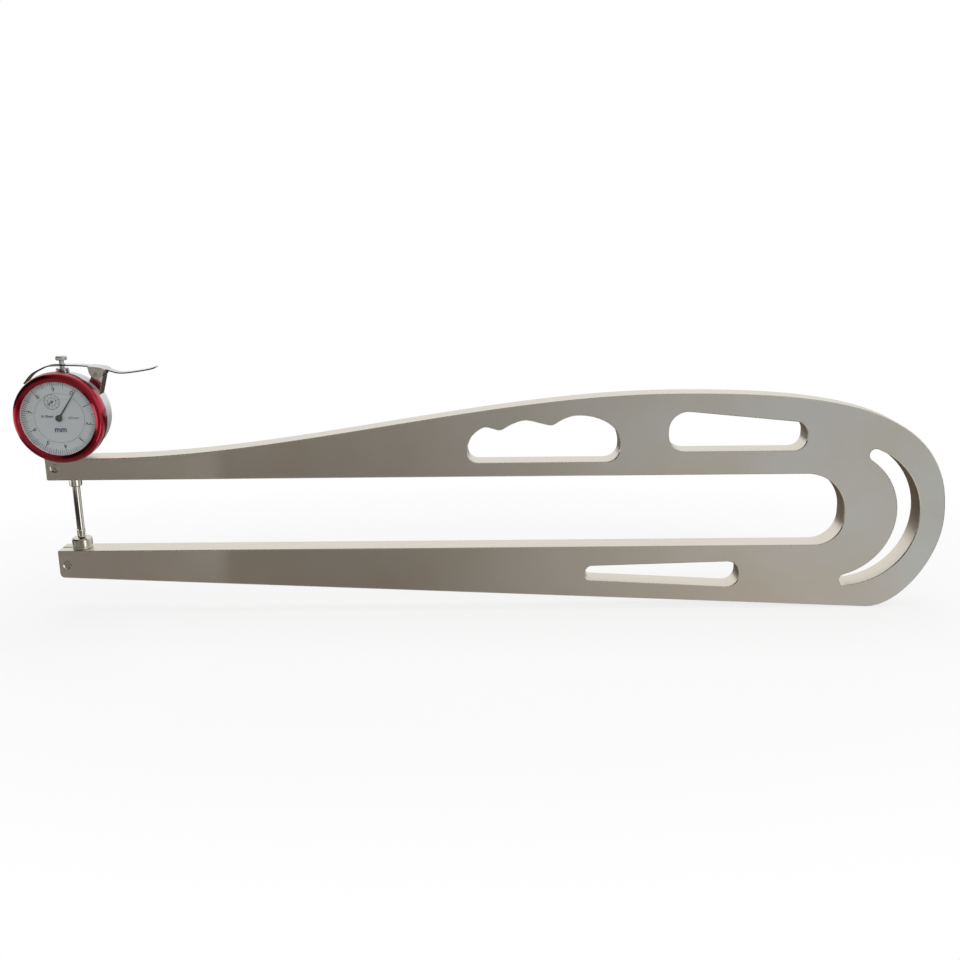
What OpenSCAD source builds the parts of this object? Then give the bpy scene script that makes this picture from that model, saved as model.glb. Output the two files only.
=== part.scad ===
// Deep-throat dial thickness gauge: an aluminium C-frame that holds a dial indicator over an anvil.
// Origin: centre of the anvil's measuring face, on the measuring axis.
// +X runs along the throat to its closed end, +Y from the dial to the back, +Z away from the anvil.

/* [Frame plate] */
// Reach of the throat, from the measuring axis to its closed end
throat_depth = 500; // [480:5:540]
// Height of the throat between the two arms
throat_height = 48; // [44:1:56]
// Thickness of the frame plate
plate_t = 16; // [14:0.5:20]
// Height of the upper arm at its tip
upper_tip_h = 14.4; // [13:0.2:18]
// Height of the lower arm at its tip
lower_tip_h = 18.6; // [17:0.2:22]
// Reach of the upper arm in front of the measuring axis
upper_tip_reach = 15.5; // [14.5:0.5:20]
// Reach of the lower arm in front of the measuring axis
lower_tip_reach = 14; // [13.5:0.5:20]
// Height of the frame's crest over the top of the throat
crest_h = 53; // [50:1:60]
// Depth of the closed end behind the throat
spine_w = 65; // [62:1:75]
// Depth of the lower edge under the throat floor, at the heel
heel_h = 43.5; // [42:0.5:50]
// Upper corner radius of the throat's closed end
throat_top_r = 26; // [15:1:26]
// Lower corner radius of the throat's closed end
throat_low_r = 18; // [12:1:18]

/* [Slots] */
// Distance from the throat's end to the near end of the finger grip
grip_from_end = 146.6; // [140:1:155]
// Length of the finger grip
grip_l = 97.2; // [90:1:100]
// Height of the finger grip's floor over the throat
grip_floor = 9.2; // [8:0.2:12]
// Distance from the throat's end to the near end of the upper slot
upper_slot_from_end = 27.7; // [24:0.5:32]
// Length of the upper slot
upper_slot_l = 88; // [70:1:92]
// Height of the upper slot's floor over the throat
upper_slot_floor = 15.5; // [13:0.5:18]
// Distance from the throat's end to the near end of the lower slot
lower_slot_from_end = 66.2; // [50:1:80]
// Length of the lower slot
lower_slot_l = 101.3; // [80:1:104]
// Depth of the lower slot's ceiling under the throat floor
lower_slot_drop = 12.4; // [11:0.2:14]
// Width of the crescent slot at its middle
crescent_w = 15; // [10:0.5:16]
// Wall between the crescent slot and the outer edge, at the middle
crescent_wall = 16; // [14:0.5:20]

/* [Anvil and clamps] */
// Diameter of the anvil
anvil_d = 12.7; // [10:0.1:14]
// Height of the anvil over the lower arm
anvil_h = 7; // [5:0.5:10]
// Diameter of the anvil's shank
anvil_shank_d = 6; // [4:0.5:6]
// Length of the anvil's shank
anvil_shank_l = 15; // [8:0.5:15]
// Distance of the upper clamp screw from the measuring axis
upper_screw_x = 9.3; // [9:0.1:11]
// Distance of the lower clamp screw from the measuring axis
lower_screw_x = 8.4; // [7.5:0.1:9.5]
// Diameter of a clamp screw's head
clamp_head_d = 4.6; // [4.2:0.1:5.2]
// Diameter of a clamp screw's thread
clamp_thread_d = 2.5; // [2.2:0.1:2.7]
// Width of the clamp slits
slit_w = 0.8; // [0.6:0.1:1.4]

/* [Indicator case] */
// Outer diameter of the case
case_d = 53; // [52.6:0.1:53.4]
// Wall of the case
case_wall = 2; // [1.6:0.1:2]
// Gap between the case and the top of the upper arm
case_gap = 1.3; // [0.4:0.1:2]
// Distance from the measuring axis back to the case's rear face
case_back = 7; // [7:0.1:7.6]
// Diameter of the clamping stem
stem_d = 8; // [8:0.1:8.4]
// Length of the stem that shows under the upper arm
stem_proud = 5.6; // [3:0.2:8]
// Diameter of the bush over the case
bush_d = 8.2; // [7:0.2:9]
// Height of the bush over the case
bush_h = 3.2; // [2.4:0.1:3.6]

/* [Bezel and dial] */
// How far the bezel stands out over the case, all round
bezel_over = 2.5; // [2:0.1:3.5]
// How far the bezel's lip reaches in over the crystal, all round
bezel_lip = 1.45; // [1.2:0.05:2.5]
// Length of the bezel along its axis
bezel_l = 8; // [7.8:0.1:8.6]
// Thickness of the crystal
crystal_t = 1.2; // [0.8:0.1:1.4]
// Thickness of the dial sheets
dial_t = 0.4; // [0.3:0.05:0.5]
// Width of the printed ring that turns with the bezel
dial_ring_w = 9.05; // [8:0.05:9.5]

/* [Plunger] */
// Travel of the plunger
travel = 10; // [5:0.5:10]
// Diameter of the spindle and of its extension rod
spindle_d = 4.8; // [4.4:0.1:5]
// Diameter of the neck between the case and the cap
neck_d = 3; // [2.6:0.1:3.2]
// Diameter of the plunger cap
cap_d = 7; // [6.4:0.1:8]
// Height of the plunger cap
cap_h = 2.8; // [2:0.1:4]
// Height of the cap over the bush when the jaws are closed
cap_rise = 5; // [4.6:0.1:6]
// Diameter of the contact point
contact_d = 5.3; // [5:0.1:6]
// Length of the contact point
contact_l = 6; // [4:0.2:8]

/* [Lifting lever] */
// Thickness of the lever's sheet
lever_t = 0.8; // [0.6:0.1:1]
// Width of the lever's strip
lever_w = 6; // [5:0.2:7]
// Diameter of the lever's pivot pin
pivot_d = 1.6; // [1.2:0.1:2]
// Width over the bracket's cheeks
bracket_w = 8.8; // [8:0.1:9.6]
// Thickness of the bracket's sheet
bracket_t = 0.8; // [0.6:0.1:1]

/* [Movement] */
// Pitch of the rack cut in the spindle
rack_pitch = 0.625;
// Teeth of the pinion that the rack drives
rack_pinion_teeth = 16;
// Teeth of the two large wheels
wheel_teeth = 100;
// Leaves of the centre pinion
centre_teeth = 10;
// Play at the pitch line of each mesh
mesh_play = 0.07; // [0.05:0.01:0.09]
// Thickness of a wheel
wheel_t = 0.6; // [0.4:0.1:0.8]

/* [Fits] */
// Radial running clearance of a shaft in its bore
run_fit = 0.03; // [0.02:0.01:0.06]
// Radial clearance of pieces that are pressed or screwed together
seat_fit = 0.02; // [0.01:0.01:0.04]
// Free gap between pieces that pass each other
free_gap = 0.3; // [0.2:0.05:0.4]

/* [Hidden] */
$fn = 64;

// Levels of the frame plate
floor_z = -anvil_h;
roof_z = floor_z + throat_height;
arm_top_z = roof_z + upper_tip_h;
plate_front = -plate_t / 2;
plate_back = plate_t / 2;
outer_x = throat_depth + spine_w;
crest_from_end = 112.2;
upper_screw_z = roof_z + 8.1;
lower_screw_z = floor_z - 9.6;
shank_bore_drop = lower_tip_h + 2;
screw_sink = 0.7;
screw_head_l = 2.5;

// Place and radii of the indicator
case_r = case_d / 2;
case_in_r = case_r - case_wall;
dial_z = arm_top_z + case_gap + case_r;
stem_end_z = roof_z - stem_proud;
bush_top_z = dial_z + case_r + bush_h;
cap_z = bush_top_z + cap_rise;
spindle_r = spindle_d / 2;
neck_r = neck_d / 2;

// Depths of the layers, from the back of the case to the crystal
cover_t = 1.6;
seat_t = 1.2;
seat_y = case_back - cover_t;
main_y = -3;
main_t = 1;
rim_y = -12.3;
step_y = -9.2;
rim_r = case_r - 0.5;
snap_y = -10.9;
snap_half = 0.45;
glass_r = case_r - 1.55;
bezel_r = case_r + bezel_over;
window_r = glass_r - bezel_lip;
centre_disc_r = glass_r - dial_ring_w;
bezel_back = step_y - free_gap;
bezel_front = bezel_back - bezel_l;
dial_y = rim_y - free_gap - dial_t;
bridge_y = dial_y + dial_t;
bridge_t = 1;
crystal_back = dial_y - 2;
crystal_front = crystal_back - crystal_t;
hand_y = dial_y - 1.2;

// Gear train: the rack drives the counter arbor, its wheel drives the centre pinion
gear_m = rack_pitch / PI;
rack_pinion_r = rack_pinion_teeth * gear_m / 2;
mesh_distance = (wheel_teeth + centre_teeth) * gear_m / 2;
rack_line_x = -spindle_r + gear_m + 0.1;
counter_x = rack_line_x - rack_pinion_r;
counter_up = sqrt(mesh_distance * mesh_distance - counter_x * counter_x);
counter_z = dial_z + counter_up;
hair_angle = -30;
hair_x = mesh_distance * cos(hair_angle);
hair_z = dial_z + mesh_distance * sin(hair_angle);

// How far the wheels are turned so that their teeth mesh
counter_turn = atan2(-counter_up, -counter_x);
centre_turn = counter_turn + 180 + 180 / centre_teeth;
centre_step = 360 / centre_teeth;
hair_lead = ((hair_angle - centre_turn) % centre_step + centre_step) % centre_step;
hair_turn = hair_angle + 180 + hair_lead * centre_teeth / wheel_teeth + 180 / wheel_teeth;

// Arbors and pivots of the movement, and the depths of its wheels
arbor_r = 0.5;
centre_r = 0.6;
pivot_r = 0.4;
counter_wheel_y = -10.6;
hair_wheel_y = -8.6;
pinion_half_l = 1.7;
rack_margin = 2 * rack_pitch;

// Places of the movement's fixed pieces, measured from the dial's centre
pillar_places = [[-12, -7], [9.5, 10.5], [-2, -13.5]];
pillar_r = 1.4;
bridge_r = 15.5;
plate_screw_angles = [20, 140, 220];
plate_screw_ring = case_in_r - 1.1;
cover_screw_angles = [45, 135, 225, 315];
cover_screw_ring = case_in_r - 3.2;
ledge_r = case_in_r - 2.1;
cock_feet = [[-11.5, 13.5], [-11.5, 6.5]];
cock_y = 3;
cock_t = 0.9;
guide_z = dial_z - 6.5;
guide_pin_r = 0.75;
guide_pin_end = 8.4;
rail_x = spindle_r + 0.8;
rail_w = 2.6;
spring_x = 7.6;
spring_low = dial_z - 18.5;
stud_drop = 6;

// Lifting lever and bracket: drawn on the dial's centre for a case of 53 mm, and they grow with the case
lever_k = case_d / 53;
pivot_x = 22.5 * lever_k;
pivot_z = dial_z + 26 * lever_k;
bracket_screw_angle = 40;
bracket_floor_r = case_r + 1.4;
lever_path = lever_k * [
    [-24.5, 20.1], [-19.1, 25.9], [-13.3, 29.1], [-7.7, 31.2], [0, 31.5], [8, 31.5], [15.8, 31],
    [25.2, 30], [28.5, 28.7], [36.9, 26.4], [49.1, 27.5], [58, 29.1], [59.6, 30.1]
];
ear_from = 17.8 * lever_k;
ear_to = 28.8 * lever_k;
ear_side = lever_k * [[17.8, 30.7], [28.2, 29], [27, 25.4], [24.6, 23.6], [20.4, 23.6], [18.4, 26.9]];
cheek_side = lever_k * [[15.9, 18.6], [19.6, 25], [25.3, 25.2], [26.7, 24.6], [23, 11.9]];
web_foot = lever_k * [23.1, 11.9];
web_top = lever_k * [26.8, 24.6];
ear_in = bracket_w / 2 + 0.2;
ear_t = 0.7;

// Points of a circular arc
function arc(c, r, a0, a1, n) = [for (i = [0:n]) let (a = a0 + (a1 - a0) * i / n) c + r * [cos(a), sin(a)]];

// Points of a cubic curve from p0 to p3 with handles p1 and p2
function curve(p0, p1, p2, p3, n) = [
    for (i = [0:n]) let (t = i / n, s = 1 - t)
        s * s * s * p0 + 3 * s * s * t * p1 + 3 * s * t * t * p2 + t * t * t * p3
];

// Points of a smooth curve through every point of p
function spline(p, n) = concat([
    for (i = [0:len(p) - 2], k = [0:n - 1])
        let (
            t = k / n,
            b = p[i],
            c = p[i + 1],
            a = i > 0 ? p[i - 1] : 2 * b - c,
            d = i < len(p) - 2 ? p[i + 2] : 2 * c - b,
            square_part = a - 2.5 * b + 2 * c - d / 2,
            cube_part = 1.5 * (b - c) + (d - a) / 2
        )
            b + t * (c - a) / 2 + t ^ 2 * square_part + t ^ 3 * cube_part
], [p[len(p) - 1]]);

// Points that round the corner p between its neighbours a and b
function corner(a, p, b, r, n = 10) =
    let (
        u = (a - p) / norm(a - p),
        v = (b - p) / norm(b - p),
        half = acos(u * v) / 2,
        c = p + (u + v) / norm(u + v) * r / sin(half),
        s = p + u * r / tan(half),
        e = p + v * r / tan(half),
        a0 = atan2(s[1] - c[1], s[0] - c[0]),
        a1 = atan2(e[1] - c[1], e[0] - c[0]),
        turn = (a1 - a0 + 540) % 360 - 180
    )
        arc(c, r, a0, a0 + turn, n);

// Outline with every corner rounded by its own radius
function rounded(p, r, n = 10) = [
    for (i = [0:len(p) - 1])
        each corner(p[(i + len(p) - 1) % len(p)], p[i], p[(i + 1) % len(p)], r[i], n)
];

// Points of the arc through three points
function arc_through(p, q, s, n) =
    let (
        d = 2 * (p[0] * (q[1] - s[1]) + q[0] * (s[1] - p[1]) + s[0] * (p[1] - q[1])),
        c = [
            (p * p * (q[1] - s[1]) + q * q * (s[1] - p[1]) + s * s * (p[1] - q[1])) / d,
            (p * p * (s[0] - q[0]) + q * q * (p[0] - s[0]) + s * s * (q[0] - p[0])) / d
        ],
        a0 = atan2(p[1] - c[1], p[0] - c[0]),
        a1 = atan2(s[1] - c[1], s[0] - c[0]),
        turn = (a1 - a0 + 540) % 360 - 180
    )
        arc(c, norm(p - c), a0, a0 + turn, n);

// Tooth outline of a wheel: involute flanks above the base circle, radial ones under it
function roll_angle(base_r, r) = r <= base_r ? 0 : tan(acos(base_r / r)) * 180 / PI - acos(base_r / r);
function wheel_outline(teeth, turn) =
    let (
        pitch_r = teeth * gear_m / 2,
        base_r = pitch_r * cos(20),
        root_r = pitch_r - 1.25 * gear_m,
        tip_r = pitch_r + gear_m,
        half = 90 / teeth - mesh_play / 4 / pitch_r * 180 / PI + roll_angle(base_r, pitch_r),
        radii = [root_r, max(base_r, root_r + 0.01), (pitch_r + tip_r) / 2, tip_r],
        leans = [for (r = radii) half - roll_angle(base_r, r)]
    )
        [
            for (k = [0:teeth - 1])
                let (a = turn + 360 * k / teeth)
                    each concat(
                        [for (i = [0:3]) radii[i] * [cos(a - leans[i]), sin(a - leans[i])]],
                        [for (i = [3:-1:0]) radii[i] * [cos(a + leans[i]), sin(a + leans[i])]]
                    )
        ];

// Flat shape in X and Z, as thick as y0 to y1
module slab(y0, y1) {
    translate([0, y1, 0])
        rotate([90, 0, 0])
            linear_extrude(y1 - y0)
                children();
}

// Round bar along Y through the point x, z
module bar_y(x, z, r, y0, y1) {
    translate([x, y0, z])
        rotate([-90, 0, 0])
            cylinder(r = r, h = y1 - y0);
}

// Round bar along Z on the measuring axis
module bar_z(r, z0, z1) {
    translate([0, 0, z0])
        cylinder(r = r, h = z1 - z0);
}

// Turned shape around the dial's axis: its points are radius and depth
module turned(points) {
    translate([0, 0, dial_z])
        rotate([-90, 0, 0])
            rotate_extrude($fn = 128)
                polygon(points);
}

// Moves its children to the dial's centre in X and Z
module at_dial() {
    translate([0, 0, dial_z])
        children();
}

// Outline of the C-frame, clockwise from the upper arm's tip
function frame_outline() =
    let (
        tip_high = [20, arm_top_z],
        crest = [throat_depth - crest_from_end, roof_z + crest_h],
        back = [outer_x, floor_z + 17.5],
        heel = [outer_x - 46, floor_z - heel_h],
        tip_low = [-lower_tip_reach, floor_z - lower_tip_h],
        rise = [crest[0] - tip_high[0], 0],
        fall = [back[0] - crest[0], 0],
        down = [0, crest[1] - back[1]],
        under = [back[0] - heel[0], 0],
        drop = [0, back[1] - heel[1]]
    )
        concat(
            corner([-upper_tip_reach, roof_z], [-upper_tip_reach, arm_top_z], tip_high, 0.8, 4),
            curve(tip_high, tip_high + 0.326 * rise, crest - 0.329 * rise, crest, 30),
            curve(crest, crest + 0.615 * fall, back + 0.862 * down, back, 30),
            curve(back, back - 0.459 * drop, heel + 0.478 * under - [0, 1], heel, 16),
            corner(heel, tip_low, tip_low + [0, lower_tip_h], 3, 6),
            corner(tip_low, [-lower_tip_reach, floor_z], [0, floor_z], 0.8, 4),
            corner([0, floor_z], [throat_depth, floor_z], [throat_depth, roof_z], throat_low_r, 14),
            corner([throat_depth, floor_z], [throat_depth, roof_z], [0, roof_z], throat_top_r, 16),
            corner([0, roof_z], [-upper_tip_reach, roof_z], [-upper_tip_reach, arm_top_z], 1.5, 4)
        );

// Finger grip with three scallops along its top
function grip_outline() =
    let (
        x0 = throat_depth - grip_from_end - grip_l,
        x1 = throat_depth - grip_from_end,
        z0 = roof_z + grip_floor
    )
        concat(
            corner([x0, z0 + 20], [x0, z0], [x1, z0], 7),
            corner([x0, z0], [x1, z0], [x1, z0 + 20], 9),
            spline([
                [x1, z0 + 12], [x1 - 1.2, z0 + 17], [x1 - 4, z0 + 22], [x1 - 10, z0 + 26.5],
                [x1 - 19, z0 + 29.6], [x1 - 29, z0 + 30.2], [x1 - 37, z0 + 27.6], [x1 - 43, z0 + 24.2],
                [x1 - 49, z0 + 25],
                [x1 - 60, z0 + 27.5], [x1 - 69, z0 + 25], [x1 - 76, z0 + 21.2], [x1 - 81, z0 + 22.2],
                [x0 + 11, z0 + 23.2], [x0 + 6, z0 + 20.6], [x0 + 2.2, z0 + 16.6], [x0, z0 + 11]
            ], 3)
        );

// Tapered slot in the upper arm
function upper_slot_outline() =
    let (
        x1 = throat_depth - upper_slot_from_end,
        x0 = x1 - upper_slot_l,
        z0 = roof_z + upper_slot_floor
    )
        rounded([[x0, z0], [x1, z0], [x1, z0 + 18], [x0, z0 + 27]], [11, 8, 8, 12]);

// Tapered slot in the lower arm
function lower_slot_outline() =
    let (
        x1 = throat_depth - lower_slot_from_end,
        x0 = x1 - lower_slot_l,
        z1 = floor_z - lower_slot_drop
    )
        rounded([[x0, z1 - 11], [x1, z1 - 16.8], [x1, z1 + 1.4], [x0, z1 - 1.2]], [4.6, 8, 8, 4.6]);

// Crescent slot behind the throat, between two arcs with round ends
function crescent_outline() =
    let (
        top = [throat_depth + 17, floor_z + 60],
        low = [throat_depth + 4, floor_z - 24.5],
        top_dir = 4 * [cos(50), sin(50)],
        low_dir = 3.8 * [cos(-70), sin(-70)],
        outer_mid = [outer_x - crescent_wall, floor_z + 19],
        inner_mid = outer_mid - [crescent_w, 2]
    )
        concat(
            arc(top, 4, 230, 50, 8),
            arc_through(top + top_dir, outer_mid, low + low_dir, 30),
            arc(low, 3.8, -70, -250, 8),
            arc_through(low - low_dir, inner_mid, top - top_dir, 28)
        );

// Screw hole with a counterbore for the head and a slit that lets the arm's tip close
module clamp_cuts(screw_x, screw_z, reach, z0, z1) {
    bar_y(-screw_x, screw_z, clamp_head_d / 2 + 0.15, plate_front - 1, plate_front + screw_sink + screw_head_l);
    bar_y(-screw_x, screw_z, clamp_thread_d / 2 + 0.05, plate_front, plate_back - 1.5);
    translate([-reach - 1, -slit_w / 2, z0 - 1])
        cube([reach + 1, slit_w, z1 - z0 + 2]);
}

module frame_plate() {
    color([0.66, 0.65, 0.63])
        difference() {
            slab(plate_front, plate_back)
                difference() {
                    polygon(frame_outline());
                    polygon(grip_outline());
                    polygon(upper_slot_outline());
                    polygon(lower_slot_outline());
                    polygon(crescent_outline());
                }
            bar_z(stem_d / 2, roof_z - 1, arm_top_z + 1);
            bar_z(anvil_shank_d / 2 + seat_fit, floor_z - shank_bore_drop, floor_z + 1);
            clamp_cuts(upper_screw_x, upper_screw_z, upper_tip_reach, roof_z, arm_top_z);
            clamp_cuts(lower_screw_x, lower_screw_z, lower_tip_reach, floor_z - shank_bore_drop, floor_z);
        }
}

// Socket-head screw across an arm's tip, its head in the front counterbore
module clamp_screw(screw_x, screw_z) {
    head_y = plate_front + screw_sink;
    head_end = head_y + screw_head_l;
    color([0.55, 0.55, 0.56])
        difference() {
            union() {
                bar_y(-screw_x, screw_z, clamp_head_d / 2, head_y, head_end);
                bar_y(-screw_x, screw_z, clamp_thread_d / 2, head_end - 0.1, plate_back - 2);
            }
            translate([-screw_x, head_y - 1, screw_z])
                rotate([-90, 0, 0])
                    cylinder(d = clamp_head_d / 2, h = 2.3, $fn = 6);
        }
}

module gauge_clamp_screw() {
    clamp_screw(upper_screw_x, upper_screw_z);
}

module anvil_clamp_screw() {
    clamp_screw(lower_screw_x, lower_screw_z);
}

module anvil() {
    chamfer = 0.6;
    r = anvil_d / 2;
    color([0.78, 0.77, 0.74])
        rotate_extrude()
            polygon([
                [0, 0], [r - chamfer, 0], [r, -chamfer], [r, -anvil_h + 0.4], [r - 0.4, -anvil_h],
                [anvil_shank_d / 2, -anvil_h], [anvil_shank_d / 2, -anvil_h - anvil_shank_l],
                [0, -anvil_h - anvil_shank_l]
            ]);
}

module gauge_case() {
    edge = 2;
    color([0.85, 0.86, 0.87])
        difference() {
            turned(concat(
                [
                    [rim_r, rim_y], [rim_r, snap_y - snap_half], [rim_r - snap_half, snap_y - snap_half],
                    [rim_r - snap_half, snap_y + snap_half], [rim_r, snap_y + snap_half], [rim_r, step_y],
                    [case_r, step_y]
                ],
                arc([case_r - edge, case_back - edge], edge, 0, 90, 8),
                [
                    [cover_screw_ring + 1.7, case_back], [cover_screw_ring + 1.7, seat_y],
                    [cover_screw_ring - 1.8, seat_y], [cover_screw_ring - 1.8, seat_y - seat_t],
                    [case_in_r, seat_y - seat_t], [case_in_r, main_y + 1.8], [ledge_r, main_y + 1.8],
                    [ledge_r, main_y], [case_in_r, main_y], [case_in_r, rim_y]
                ]
            ));
            bar_z(stem_d / 2, dial_z - case_r - 1, dial_z - case_in_r + 0.5);
            bar_z(spindle_r + free_gap, dial_z - case_in_r - 1, dial_z - case_in_r + 4);
            bar_z(spindle_r + free_gap, dial_z + case_in_r - 4, dial_z + case_in_r);
            bar_z(neck_r + free_gap, dial_z + case_in_r - 1, dial_z + case_r + 1);
            bar_z(bush_d / 2 - 1 + seat_fit, dial_z + case_in_r - 0.5, dial_z + case_r + 1);
            bar_z(bush_d / 2 + seat_fit, dial_z + case_r - 0.5, dial_z + case_r + 3);
            for (a = cover_screw_angles)
                at_ring(cover_screw_ring, a)
                    bar_y(0, 0, 0.75 + seat_fit, seat_y - seat_t - 1, seat_y + 1);
            for (a = plate_screw_angles)
                at_ring(plate_screw_ring, a)
                    bar_y(0, 0, 0.55 + seat_fit, main_y - 1, main_y + 1.4);
            radial_bar(bracket_screw_angle, 0.95 + seat_fit, case_in_r - 1, case_r + 1);
        }
}

// Moves its children to a point on a circle around the dial's centre
module at_ring(r, a) {
    translate([r * cos(a), 0, dial_z + r * sin(a)])
        children();
}

// Round bar that stands square on the case at the angle a
module radial_bar(a, r, from, to) {
    at_dial()
        rotate([0, 90 - a, 0])
            translate([0, 0, from])
                cylinder(r = r, h = to - from);
}

module stem() {
    top_z = dial_z - case_in_r;
    r = stem_d / 2 - seat_fit;
    bore_r = spindle_r + run_fit;
    color([0.62, 0.62, 0.62])
        rotate_extrude()
            polygon([
                [bore_r, stem_end_z], [r - 0.6, stem_end_z], [r, stem_end_z + 0.6],
                [r, top_z], [bore_r, top_z]
            ]);
}

module top_bush() {
    seat_z = dial_z + case_r - 0.5;
    r = bush_d / 2;
    color([0.75, 0.75, 0.75])
        rotate_extrude()
            polygon([
                [neck_r + run_fit, dial_z + case_in_r], [r - 1, dial_z + case_in_r],
                [r - 1, seat_z], [r, seat_z],
                [r, bush_top_z - 0.4], [r - 0.4, bush_top_z], [neck_r + run_fit, bush_top_z]
            ]);
}

module back_cover() {
    r = cover_screw_ring + 1.6;
    color([0.8, 0.81, 0.82])
        difference() {
            turned([
                [0, seat_y], [r, seat_y], [r, case_back - 0.3], [r - 0.3, case_back], [18, case_back],
                [17.6, case_back - 0.4], [0, case_back - 0.4]
            ]);
            for (a = cover_screw_angles)
                at_ring(cover_screw_ring, a) {
                    bar_y(0, 0, 0.75 + seat_fit, seat_y - 1, case_back);
                    bar_y(0, 0, 1.35, case_back - 0.8, case_back + 1);
                }
        }
}

// Small cheese-head screw along Y, its head towards the side given by dir
module small_screw(head_r, head_l, thread_r, thread_l, head_y, dir) {
    slot_w = 0.35;
    head_end = head_y + dir * head_l;
    tip_y = head_y - dir * thread_l;
    difference() {
        union() {
            bar_y(0, 0, head_r, min(head_y, head_end), max(head_y, head_end));
            bar_y(0, 0, thread_r, min(head_y, tip_y), max(head_y, tip_y));
        }
        translate([-head_r - 1, dir > 0 ? head_y + head_l / 2 : head_y - head_l - 1, -slot_w / 2])
            cube([2 * head_r + 2, head_l / 2 + 1, slot_w]);
    }
}

module back_cover_screws() {
    color([0.5, 0.5, 0.52])
        for (a = cover_screw_angles)
            at_ring(cover_screw_ring, a)
                small_screw(1.3, 0.8, 0.75, cover_t - 0.8 + seat_t, case_back - 0.8, 1);
}

module main_plate() {
    color([0.83, 0.7, 0.38])
        difference() {
            slab(main_y - main_t, main_y)
                translate([0, dial_z])
                    circle(case_in_r - 0.1, $fn = 128);
            bar_y(0, dial_z, pivot_r + run_fit, main_y - 2, main_y + 1);
            bar_y(counter_x, counter_z, arbor_r + free_gap, main_y - 2, main_y + 1);
            bar_y(hair_x, hair_z, pivot_r + run_fit, main_y - 2, main_y + 1);
            for (a = plate_screw_angles)
                at_ring(plate_screw_ring, a)
                    bar_y(0, 0, 0.6, main_y - 2, main_y + 1);
        }
}

module plate_screws() {
    color([0.5, 0.5, 0.52])
        for (a = plate_screw_angles)
            at_ring(plate_screw_ring, a)
                small_screw(0.95, 0.7, 0.55, main_t + 1.3, main_y - main_t, -1);
}

module movement_pillars() {
    color([0.83, 0.7, 0.38])
        difference() {
            for (p = pillar_places)
                bar_y(p[0], dial_z + p[1], pillar_r, bridge_y + bridge_t, main_y - main_t);
            for (p = pillar_places)
                bar_y(p[0], dial_z + p[1], 0.6 + seat_fit, bridge_y, bridge_y + bridge_t + 2.7);
        }
}

module movement_bridge() {
    color([0.83, 0.7, 0.38])
        difference() {
            slab(bridge_y, bridge_y + bridge_t)
                translate([0, dial_z])
                    circle(bridge_r, $fn = 96);
            bar_y(0, dial_z, centre_r + run_fit, bridge_y - 1, bridge_y + 2);
            bar_y(counter_x, counter_z, arbor_r + run_fit, bridge_y - 1, bridge_y + 2);
            bar_y(hair_x, hair_z, pivot_r + run_fit, bridge_y + 0.2, bridge_y + 2);
            for (p = pillar_places) {
                bar_y(p[0], dial_z + p[1], 0.65, bridge_y - 1, bridge_y + 2);
                bar_y(p[0], dial_z + p[1], 1.15, bridge_y - 1, bridge_y + 0.6);
            }
        }
}

module bridge_screws() {
    color([0.5, 0.5, 0.52])
        for (p = pillar_places)
            translate([p[0], 0, dial_z + p[1]])
                small_screw(1.1, 0.55, 0.6, 3, bridge_y + 0.6, -1);
}

module rear_cock() {
    color([0.83, 0.7, 0.38])
        difference() {
            union() {
                at_dial()
                    slab(cock_y, cock_y + cock_t)
                        polygon([
                            cock_feet[0] + [-1.8, 1.2], cock_feet[0] + [1, 1.8],
                            [counter_x + 1.2, counter_up + 1.6], [counter_x + 1.2, counter_up - 1.6],
                            cock_feet[1] + [1, -1.8], cock_feet[1] + [-1.8, -1.2]
                        ]);
                bar_y(counter_x, counter_z, 2, cock_y, cock_y + cock_t);
                for (p = cock_feet)
                    bar_y(p[0], dial_z + p[1], 1.5, main_y, cock_y + 0.1);
            }
            bar_y(counter_x, counter_z, arbor_r + run_fit, cock_y - 1, cock_y + 2);
            for (p = cock_feet)
                bar_y(p[0], dial_z + p[1], 0.6 + seat_fit, main_y - 1, cock_y + 2);
        }
}

module rear_cock_screws() {
    color([0.5, 0.5, 0.52])
        for (p = cock_feet)
            translate([p[0], 0, dial_z + p[1]])
                small_screw(1.2, 0.7, 0.6, cock_y + cock_t - main_y - 0.2, cock_y + cock_t, 1);
}

module guide_rail() {
    slot_w = 2 * guide_pin_r + 0.1;
    color([0.83, 0.7, 0.38])
        difference() {
            translate([rail_x, main_y, guide_z - 2])
                cube([rail_w, 5.2, travel + 4]);
            translate([rail_x - 1, -slot_w / 2, guide_z - guide_pin_r - 0.15])
                cube([rail_w + 2, slot_w, travel + 2 * guide_pin_r + 0.3]);
        }
}

module spring_post() {
    color([0.6, 0.6, 0.6])
        bar_y(spring_x, spring_low - 0.8, 0.7, main_y, 1.2);
}

module return_spring() {
    color([0.4, 0.4, 0.42])
        translate([spring_x, 0, spring_low])
            difference() {
                cylinder(r = 1.4, h = guide_z - guide_pin_r - 0.15 - spring_low);
                translate([0, 0, -1])
                    cylinder(r = 1, h = guide_z - spring_low + 2);
            }
}

module hairspring() {
    strip = 0.15;
    turns = 6;
    steps = 24;
    inner_r = 1.5;
    grow = (stud_drop - 0.6 - strip - inner_r) / turns;
    last = turns * steps;
    function spiral(i, off) = let (a = -90 + 360 * (i - last) / steps)
        (inner_r + off + grow * i / steps) * [cos(a), sin(a)];
    color([0.5, 0.45, 0.35])
        slab(-6.9, -5.9)
            translate([hair_x, hair_z])
                polygon(concat(
                    [for (i = [0:last]) spiral(i, 0)],
                    [for (i = [last:-1:0]) spiral(i, strip)]
                ));
}

module hairspring_stud() {
    color([0.83, 0.7, 0.38])
        bar_y(hair_x, hair_z - stud_drop, 0.5, -7.1, main_y - main_t);
}

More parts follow.
